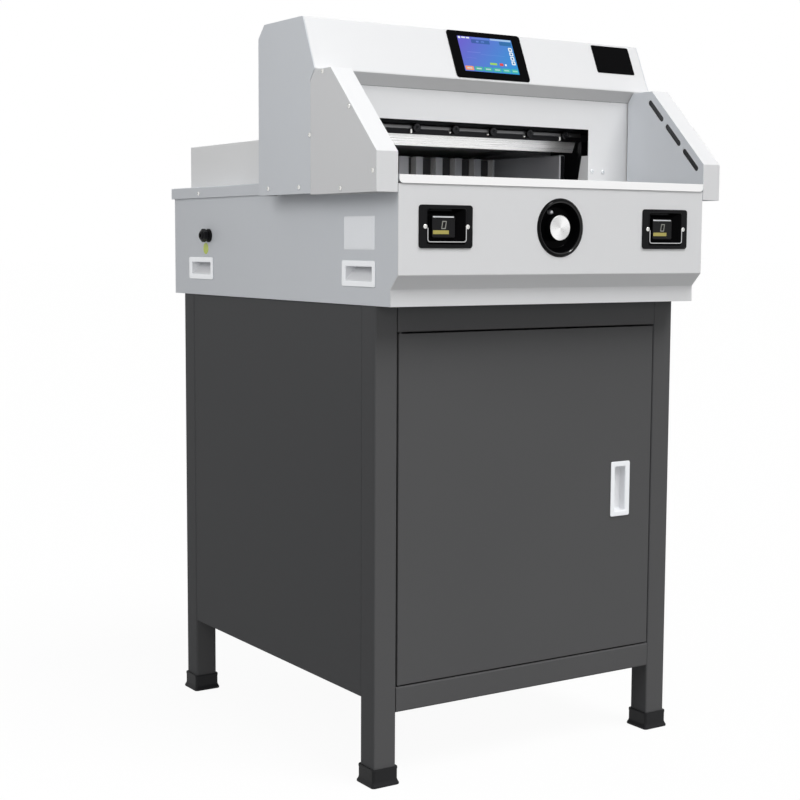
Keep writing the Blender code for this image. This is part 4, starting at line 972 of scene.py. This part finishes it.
tiles = [
    ("headline", 0.60, 0.945, 0.985, 0.995), ("field", 0.24, 0.82, 0.58, 0.93),
    ("field", 0.76, 0.82, 0.985, 0.93), ("white", 0.015, 0.93, 0.055, 0.99),
    ("white", 0.075, 0.945, 0.145, 0.985), ("white", 0.16, 0.945, 0.22, 0.985),
    ("haze", 0.26, 0.95, 0.58, 0.985), ("haze", 0.12, 0.545, 0.36, 0.565),
    ("haze", 0.08, 0.38, 0.26, 0.39), ("haze", 0.36, 0.50, 0.80, 0.51),
    ("haze", 0.33, 0.85, 0.38, 0.90), ("haze", 0.42, 0.85, 0.48, 0.90),
    *[("white", 0.905, bottom, 0.975, bottom + 0.11) for bottom in (0.66, 0.53, 0.40, 0.27)],
    ("lime", 0.49, 0.225, 0.62, 0.285), ("red", 0.67, 0.215, 0.735, 0.29),
    ("white", 0.765, 0.225, 0.80, 0.275), ("orange", 0.015, 0.03, 0.165, 0.145),
    *[("green", left, 0.03, left + 0.15, 0.145) for left in (0.185, 0.355, 0.525, 0.695)],
    ("green", 0.865, 0.03, 0.985, 0.145),
]
marks = [
    *[("field", 0.925, bottom, 0.955, bottom + 0.05) for bottom in (0.69, 0.56, 0.43, 0.30)],
    *[("print", left, 0.07, left + 0.09, 0.105) for left in (0.045, 0.215, 0.385, 0.555, 0.725, 0.885)],
]


def middleOf(table):
    return (table["left"] + table["right"]) / 2, (table["bottom"] + table["top"]) / 2


def outlineOf(table):
    return table["right"] - table["left"], table["top"] - table["bottom"]


# A flat tile on the slope between shares of the picture
def addTile(name, left, bottom, right, top, finish, level, rounding=0.16):
    width, height = outlineOf(picture)
    size = ((right - left) * width, (top - bottom) * height)
    tile = addMoulded(name, [(*size, 0), (*size, picture["film"])], min(size) * rounding, 2)
    place = slopePlace(
        picture["left"] + (left + right) / 2 * width, picture["bottom"] + (bottom + top) / 2 * height, level,
    )
    layOn(softenEdges(tile), place, *faces["slope"])
    dress(tile, "machine_frame", finish)


def makeDisplay():
    outline, proud = outlineOf(display), display["proud"]
    bezel = addMoulded("displayFrame", [
        *ringsRound(outline, 0, *display["back"]), *ringsRound(outline, proud, *display["edge"]),
    ], display["corner"], display["cornerSteps"])
    fit(
        softenEdges(bezel), slopePlace(*middleOf(display)), "slope", "machine_frame",
        "glossBlack",
    )
    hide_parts("screen_bezel", "screen")
    across, down = picture["slant"]
    way = Vector((across, *(down * slopeUp).yz))
    backdrop = makeGlow(
        "pictureGlow", picture["low"], picture["high"],
        slopePlace(picture["left"] * picture["start"], picture["top"]).dot(way),
        slopePlace(picture["right"], picture["bottom"]).dot(way), way,
    )
    level = proud - picture["sunk"]
    addTile("picture", 0, 0, 1, 1, backdrop, level, 0.01)
    lit = {
        name: makeGlow(name + "Glow", low, high, picture["left"], picture["right"], (1, 0, 0))
        for name, (low, high) in glows.items()
    }
    for name, rows in (("tile", tiles), ("mark", marks)):
        level += picture["film"]
        for index, (glowName, *edges) in enumerate(rows):
            addTile(f"{name}{index + 1}", *edges, lit[glowName], level)


makeDisplay()
print("display: frame, picture and", len(tiles) + len(marks), "tiles")

# Plates without print: one on the slope, one on the left side by its distance behind the front
blankPlate = {
    "left": 231 * mm, "right": 314 * mm, "bottom": 33 * mm, "top": 85.5 * mm, "corner": 2.5 * mm,
    "steps": [(0, 0), (0, 0.7), (-0.6, 1), (-4, 1), (-4.6, 0.8)],
}
ratingPlate = {
    "left": 64 * mm, "right": 152 * mm, "bottom": 824 * mm, "top": 874 * mm, "corner": 2 * mm,
    "steps": [(0, 0), (0, 0.35), (-0.4, 0.5), (-3, 0.5), (-3.4, 0.3), (-4.4, 0.3), (-4.8, 0.5)],
}


def makePlate(name, table, place, side, finishName):
    plate = addMoulded(name, ringsRound(outlineOf(table), 0, *table["steps"]), table["corner"])
    fit(softenEdges(plate), place, side, "machine_frame", finishName)


makePlate(
    "blankPlate", blankPlate, slopePlace(*middleOf(blankPlate)), "slope", "glossBlack",
)
behind, above = middleOf(ratingPlate)
makePlate(
    "ratingPlate", ratingPlate, (bodyLeft, frontY + behind, above), "left", "labelFilm",
)

# Carry cups and door pull: white shells with a rolled mouth
shellEdge = [(0, -0.9), (-0.5, -0.3), (-1.8, 0)]
shellRoll = [(2, 0), (1, 0.12), (0.3, 0.45), (0, 1)]
shellSize = {
    "corner": 3 * mm, "proud": 2 * mm, "lip": 9.5 * mm, "edge": 0.4 * mm, "shading": 40,
    "coatDepth": 0.5 * mm, "coatMargin": 0.1 * mm,
}
cup = {
    "depth": 21 * mm, "rim": 6 * mm, "roll": 2.4 * mm, "backWall": 1.5 * mm, "leanShare": 0.42,
    "floorIn": (-1 * mm, -0.5 * mm), "floorShare": 0.98, "nearFloor": 0.5 * mm,
}
pull = {"depth": 11.5 * mm, "rim": 5 * mm, "roll": 2.8 * mm, "floors": [(-2, 0.85), (-5, 1)]}


def mouthOf(width, height):
    return width - 2 * shellSize["lip"], height - 2 * shellSize["lip"]


def addShell(nodeName, width, height, table, back, floors):
    proud, roll, mouth = shellSize["proud"], table["roll"], mouthOf(width, height)
    inner = (width - table["rim"], height - table["rim"])
    return addMoulded(sceneName(nodeName), [
        (*inner, back), (*inner, seatGap), (width, height, seatGap),
        *ringsRound((width, height), proud, *shellEdge),
        *[ring(mouth, wide * roll, proud - deep * roll) for wide, deep in shellRoll], *floors,
    ], shellSize["corner"])


# Dresses a shell and gives its pocket a duller, darker copy of the white plastic, partly painted shade in
# the recess. Deep and near tell what lies in the pocket
def finishShell(shell, nodeName, origin, side, body, deep, near):
    softenEdges(shell, shellSize["edge"], shellSize["shading"])
    fit(shell, origin, side, body, "whitePlastic")
    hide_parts(nodeName)
    coatFaces(
        shell, "pocketShadePlastic",
        lambda place, normal: deep(place) > shellSize["coatDepth"]
        and all(gap < reach / 2 + shellSize["coatMargin"] for gap, reach in near(place)),
    )


def makeCup(end, side):
    nodeName = f"carry_cup_{end}_{side}"
    low, high, middle, size = boxOf(nodeName)
    x = bodyLeft if side == "left" else bodyRight
    mouth = mouthOf(size.y, size.z)
    floor = -cup["depth"] * cup["leanShare"]
    shell = addShell(
        nodeName, size.y, size.z, cup, -cup["depth"] - cup["backWall"],
        [(mouth[0] + cup["floorIn"][0], mouth[1] + cup["floorIn"][1], floor)],
    )
    # The pocket's floor leans in towards the top, where the fingers hook
    openMesh(shell)
    pickFaces(shell, lambda place, normal: abs(place.z - floor) < cup["nearFloor"] and normal.z > 0.9)
    bpy.ops.transform.resize(value=(1, cup["floorShare"], 1), center_override=(0, 0, floor))
    closeMesh()
    for point in shell.data.vertices:
        if abs(point.co.z - floor) < cup["nearFloor"]:
            point.co.z += point.co.y * floor / (mouth[1] / 2)
    finishShell(
        shell, nodeName, (x, middle.y, middle.z), side, "machine_frame",
        lambda place: abs(x) - abs(place.x),
        lambda place: ((abs(place.y - middle.y), mouth[0]), (abs(place.z - middle.z), mouth[1])),
    )


def makeDoorPull():
    low, high, middle, size = boxOf("door_pull")
    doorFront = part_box("cabinet_door")[0].y
    mouth = mouthOf(size.x, size.z)
    floors = [ring(mouth, growth * mm, -pull["depth"] * share) for growth, share in pull["floors"]]
    shell = addShell("door_pull", size.x, size.z, pull, doorFront - high.y, floors)
    finishShell(
        shell, "door_pull", (middle.x, doorFront, middle.z), "front", "door",
        lambda place: place.y - doorFront,
        lambda place: ((abs(place.x - middle.x), mouth[0]), (abs(place.z - middle.z), mouth[1])),
    )


boot = {
    "corner": 5 * mm, "socket": 40.6 * mm, "sole": 6 * mm, "wall": 5 * mm, "shading": 40,
    "lipSink": 0.4 * mm, "flange": [(-1.6, 0), (-0.3, 0.6), (0, 1.4), (0, 3), (-1.2, 4.2)],
    "waist": [(0.8, 7.5), (0, 10)], "collar": [(0, -5), (0.8, -4.2), (0.8, -1), (-0.4, 0)],
}


def makeBoot(nodeName):
    low, high, middle, size = boxOf(nodeName)
    flange, socket = (size.x, size.x), (boot["socket"], boot["socket"])
    sleeve = (boot["socket"] + boot["wall"], boot["socket"] + boot["wall"])
    shell = addMoulded(sceneName(nodeName), [
        *ringsRound(flange, 0, *boot["flange"]), *ringsRound(sleeve, 0, *boot["waist"]),
        *ringsRound(sleeve, high.z, *boot["collar"]), (*socket, high.z - boot["lipSink"]),
        (*socket, boot["sole"]),
    ], boot["corner"])
    softenEdges(shell, angle=boot["shading"])
    fit(shell, (middle.x, middle.y, 0), "up", "machine_frame", "bootRubber")
    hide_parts(nodeName)


for side in sides:
    for end in ("front", "rear"):
        makeCup(end, side)
        makeBoot(f"boot_{end}_{side}")
makeDoorPull()
print("cups, pull and boots: 9")

# Mains gland on the left side with its nut, and the round earth tag under it
gland = {
    "neck": 8.9 * mm, "nutRadius": 11.8 * mm, "domeRadius": 9.6 * mm, "bore": 4.2 * mm,
    "boreFloor": 0.5 * mm, "points": 36, "shading": 36, "flutes": (4.5 * mm, -5 * mm, 0.5 * mm),
    "flange": [(0, 0.3), (0, 3.2), (-0.9, 4.2)], "domeFoot": 4.6 * mm,
    "dome": [(0, -5.5), (-0.8, -3), (-2.4, -0.8), (-3.6, 0)],
}
glandNut = {
    "foot": 0.42, "shoulder": 0.78, "crown": 0.84, "chamfer": 0.9 * mm, "inside": 1.8 * mm,
    "edge": 0.3 * mm, "sides": 6,
}
earthTag = {
    "radius": 10 * mm, "middle": (0.5 * mm, 0.22 * mm), "place": (0, 14 * mm, -23 * mm),
    "steps": [(0, 0), (0, 0.2), (-0.3, 0.3), (-2.4, 0.3), (-2.6, 0.22)],
}


def makeGland():
    low, high, middle, size = boxOf("mains_gland")
    centre = Vector((bodyLeft, middle.y, middle.z))
    reach, inward = bodyLeft - low.x, high.x - bodyLeft
    nutRadius, domeRadius = gland["nutRadius"], gland["domeRadius"]
    bottom, top, depth = gland["flutes"]
    body = addTurned("mainsGland", [
        (gland["neck"], -inward), (gland["neck"], seatGap), *ringsRound((nutRadius,), 0, *gland["flange"]),
        (domeRadius, gland["domeFoot"]), *ringsRound((domeRadius,), reach, *gland["dome"]),
        (gland["bore"], reach), (gland["bore"], gland["boreFloor"] - inward),
    ], gland["points"], flutes=(bottom, reach + top, depth))
    softenEdges(body, angle=gland["shading"])
    fit(body, centre, "left", "machine_frame", "blackPlastic")
    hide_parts("mains_gland")
    foot, shoulder, crown = (reach * glandNut[key] for key in ("foot", "shoulder", "crown"))
    inside = domeRadius - glandNut["inside"]
    nut = addTurned("glandNut", [
        (nutRadius, foot), (nutRadius, shoulder), (nutRadius - glandNut["chamfer"], crown), (inside, crown),
        (inside, foot),
    ], glandNut["sides"])
    softenEdges(nut, glandNut["edge"])
    fit(nut, centre, "left", "machine_frame", "buttonPlastic")
    tag = addTurned(
        "earthTag", [*ringsRound((earthTag["radius"],), 0, *earthTag["steps"]), earthTag["middle"]],
    )
    place = centre + Vector(earthTag["place"])
    fit(softenEdges(tag), place, "left", "machine_frame", "earthFilm")


makeGland()
print("left side: gland, nut and tag")

# Light barrier strips behind the slots of the wings. Foot and head of the slots' slanting line
# are (distance behind the front panel, height)
barrier = {
    "outline": (11 * mm, 176 * mm), "steps": [(0, -1.2), (0, 0), (-1, 0.1)], "corner": 4 * mm,
    "foot": (0, 965.7 * mm), "head": (129.5 * mm, 1094.5 * mm), "along": 93 * mm, "aside": 16.5 * mm,
    "sunk": 2 * mm,
}


def makeBarrierStrip(side, sign, inner):
    foot, head = (Vector((0, frontY + barrier[end][0], barrier[end][1])) for end in ("foot", "head"))
    up = (head - foot).normalized()
    out = Vector((0, up.z, -up.y))
    strip = addMoulded(
        "barrierStrip" + side.title(), ringsRound(barrier["outline"], 0, *barrier["steps"]),
        barrier["corner"],
    )
    middle = foot + up * barrier["along"] + out * barrier["aside"]
    middle.x = inner + sign * barrier["sunk"]
    layOn(softenEdges(strip), middle, out * -sign, up)
    dress(strip, "machine_frame", finishes["stripGlass"])


makeBarrierStrip("left", -1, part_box("wing_left")[1].x)
makeBarrierStrip("right", 1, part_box("wing_right")[0].x)

# Keeper strip, rail, bolts and pins on the knife carrier. The rail's steps are in mm
carrier = {"bolts": 6, "pitch": 77 * mm, "boltReach": 8 * mm, "boltRise": 8.8 * mm, "length": 462 * mm}
keeper = {
    "drop": 2.2 * mm, "height": 8.4 * mm, "thick": 1.2 * mm, "corner": 0.6 * mm,
    "steps": [(0, 0), (0, 0.9), (-0.6, 1.2), (-3, 1.2), (-3.6, 1)],
}
rail = {
    "height": 7 * mm, "rise": 6.2 * mm, "corner": 0.8 * mm, "shading": 50,
    "steps": [
        (0, 0, 0), (0, 0, 1.35), (-0.3, -0.5, 2.1), (-0.8, -1.4, 2.64), (-1.4, -2.8, 2.91), (-2, -4.6, 3),
    ],
}
bolt = {
    "radius": 7.2 * mm, "reach": 8.4 * mm, "foot": 0.1 * mm, "points": 60, "shading": 34,
    "steps": [(0, -1.2), (-0.35, -0.4), (-1.1, 0), (-2, 0), (-2.5, -0.35), (-3, -0.35)],
    "flutes": (0.05 * mm, -1.1 * mm, 0.35 * mm), "socketRadius": 3.3 * mm, "socketDepth": 3 * mm,
    "socketSides": 6,
}
cone = {
    "points": 20, "rise": 3.8 * mm, "steps": [(2.6, 0), (2.7, 1), (2.3, 2.2), (1.4, 3.4), (0.5, 3.9)],
}
pin = {
    "outline": (4.6 * mm, 8.6 * mm), "steps": [(0, 0), (0, 1.6), (-0.8, 2.8), (-2.4, 3.4)],
    "corner": 1.9 * mm, "rise": 2.8 * mm, "places": (1, 5), "shift": -8.9 * mm, "shading": 40,
}


def makeCarrierBolt():
    bottom, top, depth = bolt["flutes"]
    cap = addTurned(
        "boltMaster",
        [(bolt["radius"], bolt["foot"]), *ringsRound((bolt["radius"],), bolt["reach"], *bolt["steps"])],
        bolt["points"], flutes=(bottom, bolt["reach"] + top, depth),
    )
    clearSelection()
    bpy.ops.mesh.primitive_cylinder_add(
        vertices=bolt["socketSides"], radius=bolt["socketRadius"], depth=2 * bolt["socketDepth"],
        location=(0, 0, bolt["reach"]),
    )
    cutOut(cap)
    return softenEdges(cap, angle=bolt["shading"])


def makeCarrierFront():
    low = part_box("knife_carrier")[0]
    face, length = low.y + carrier["boltReach"], carrier["length"]
    strip = addMoulded(
        "keeperStrip", ringsRound((length, keeper["height"]), 0, *keeper["steps"]), keeper["corner"], 3,
    )
    place = (0, face, low.z - keeper["drop"] + keeper["height"] / 2)
    fit(softenEdges(strip), place, "front", "knife_beam", "blackenedSteel")
    track = addMoulded("carrierRail", [
        (length + longer * mm, rail["height"] + taller * mm, level * mm)
        for longer, taller, level in rail["steps"]
    ], rail["corner"], 3)
    place = (0, face, low.z + rail["rise"] + rail["height"] / 2)
    fit(softenEdges(track, angle=rail["shading"]), place, "front", "knife_beam", "railSteel")
    boltMaster = makeCarrierBolt()
    coneMaster = addTurned("coneMaster", ringsRound((0,), 0, *cone["steps"]), cone["points"])
    pinMaster = addMoulded("pinMaster", ringsRound(pin["outline"], 0, *pin["steps"]), pin["corner"], 4)
    for master in (coneMaster, pinMaster):
        softenEdges(master, angle=pin["shading"])
    for index in range(carrier["bolts"]):
        x = (index - (carrier["bolts"] - 1) / 2) * carrier["pitch"]
        place = (x, face, low.z + carrier["boltRise"])
        head = copyTo(boltMaster, f"carrierBolt{index + 1}", place, "front")
        dress(head, "knife_beam", finishes["boltBlack"])
        tipMaster, rise = (pinMaster, pin["rise"]) if index in pin["places"] else (coneMaster, cone["rise"])
        place = (x + pin["shift"], face - keeper["thick"], low.z + rise)
        tip = copyTo(tipMaster, f"carrierPin{index + 1}", place, "front")
        dress(tip, "knife_beam", finishes["zincPlate"])
    for master in (boltMaster, coneMaster, pinMaster):
        bpy.data.objects.remove(master, do_unlink=True)


makeCarrierFront()
print("barrier strips: 2, carrier pieces:", 2 + 2 * carrier["bolts"])

camera = {
    "lens": 70.19, "sensor": 36, "reach": 300, "place": (-1.5332, -2.2880, 0.8327), "yaw": 33.031,
    "pitch": 5.714, "roll": -0.291,
}


def makeCamera():
    yaw, pitch, roll = (math.radians(camera[key]) for key in ("yaw", "pitch", "roll"))
    ahead = Vector((math.sin(yaw) * math.cos(pitch), math.cos(yaw) * math.cos(pitch), -math.sin(pitch)))
    right = Vector((math.cos(yaw), -math.sin(yaw), 0))
    down = ahead.cross(right)
    turnedRight = math.cos(roll) * right + math.sin(roll) * down
    turnedDown = -math.sin(roll) * right + math.cos(roll) * down
    lens = bpy.data.cameras.new("photoCamera")
    lens.lens, lens.sensor_width, lens.clip_end = camera["lens"], camera["sensor"], camera["reach"]
    eye = bpy.data.objects.new("photoCamera", lens)
    turn = Matrix((turnedRight, -turnedDown, -ahead)).transposed().to_4x4()
    eye.matrix_world = Matrix.Translation(camera["place"]) @ turn
    bpy.context.scene.collection.objects.link(eye)
    bpy.context.scene.camera = eye


# Levels are shares of a white surface's full light, and softness is in degrees
studio = {
    "worldLevel": 0.362, "floorSize": 120, "floorColour": 0.98, "bounceColour": 0.30, "whiteShare": 0.95,
    "key": (0.68, 32, (0.2, -0.5, 0.84)), "glint": (0.25, 9, (0.2, -0.62, 0.76)),
    "front": (0.15, 20, (-0.45, -0.88, 0.10)),
    "fillPower": 4.2, "fillPlace": (-1.40, -0.60, 1.50), "fillAim": (-0.3, -0.1, 0.95), "fillSize": 0.8,
}


# 1 for what the camera sees, straight on or in metal and glass, and 0 for light that bounces
def addSeen(tree):
    path = addNode(tree, "LightPath").outputs
    seen = addMath(tree, "MAXIMUM", path["Is Camera Ray"], path["Is Glossy Ray"])
    seen = addMath(tree, "MAXIMUM", seen, path["Is Transmission Ray"])
    return addMath(tree, "MULTIPLY", seen, addMath(tree, "LESS_THAN", path["Diffuse Depth"], 0.5))


def mixShaders(tree, share, first, second, output):
    mixed = addNode(tree, "MixShader")
    for socket, value in zip(mixed.inputs, (share, first.outputs[0], second.outputs[0])):
        feed(tree, socket, value)
    feed(tree, addNode(tree, output).inputs["Surface"], mixed.outputs[0])


def makeWorld():
    world = bpy.data.worlds.new("studioWorld")
    world.use_nodes = True
    tree = world.node_tree
    tree.nodes.clear()
    light, white = addNode(tree, "Background"), addNode(tree, "Background")
    light.inputs["Strength"].default_value = studio["worldLevel"]
    for background in (light, white):
        background.inputs["Color"].default_value = (1, 1, 1, 1)
    mixShaders(tree, addSeen(tree), light, white, "OutputWorld")
    bpy.context.scene.world = world


def makeFloor():
    clearSelection()
    bpy.ops.mesh.primitive_plane_add(size=studio["floorSize"], location=(0, 0, 0))
    floor = bpy.context.object
    floor.name = "studioFloor"
    paper = bpy.data.materials.new("floorPaper")
    paper.use_nodes = True
    tree = paper.node_tree
    tree.nodes.clear()
    seen = addSeen(tree)
    shade = addNode(tree, "Mix", data_type="RGBA")
    feed(tree, shade.inputs["Factor"], seen)
    for socket, level in zip(colourSockets(shade.inputs), (studio["bounceColour"], studio["floorColour"])):
        socket.default_value = (level, level, level, 1)
    matt = addNode(tree, "BsdfDiffuse")
    feed(tree, matt.inputs["Color"], colourSockets(shade.outputs)[0])
    share = addMath(tree, "MULTIPLY", seen, studio["whiteShare"])
    mixShaders(tree, share, matt, addNode(tree, "Emission"), "OutputMaterial")
    floor.data.materials.append(paper)


def addLamp(name, kind, energy, away):
    lamp = bpy.data.lights.new(name, kind)
    lamp.energy = energy
    holder = bpy.data.objects.new(name, lamp)
    holder.rotation_euler = away.to_track_quat("Z", "Y").to_euler()
    bpy.context.scene.collection.objects.link(holder)
    return lamp, holder


# The broad lamps light without highlights, and the small one gives only those
def makeFarLights():
    for part in ("key", "front", "glint"):
        level, softness, away = studio[part]
        lamp, holder = addLamp(part + "Light", "SUN", level * math.pi, Vector(away))
        lamp.angle = math.radians(softness)
        holder.visible_glossy = part == "glint"
        holder.visible_diffuse = part != "glint"


def makeFillLight():
    away = Vector(studio["fillPlace"]) - Vector(studio["fillAim"])
    lamp, holder = addLamp("fillLight", "AREA", studio["fillPower"], away)
    lamp.shape = "DISK"
    lamp.size = studio["fillSize"]
    holder.location = studio["fillPlace"]
    holder.visible_glossy = False


makeCamera()
makeWorld()
makeFloor()
makeFarLights()
makeFillLight()
bpy.context.scene.view_settings.view_transform = "Standard"
print("studio: camera, floor, world and four lamps")
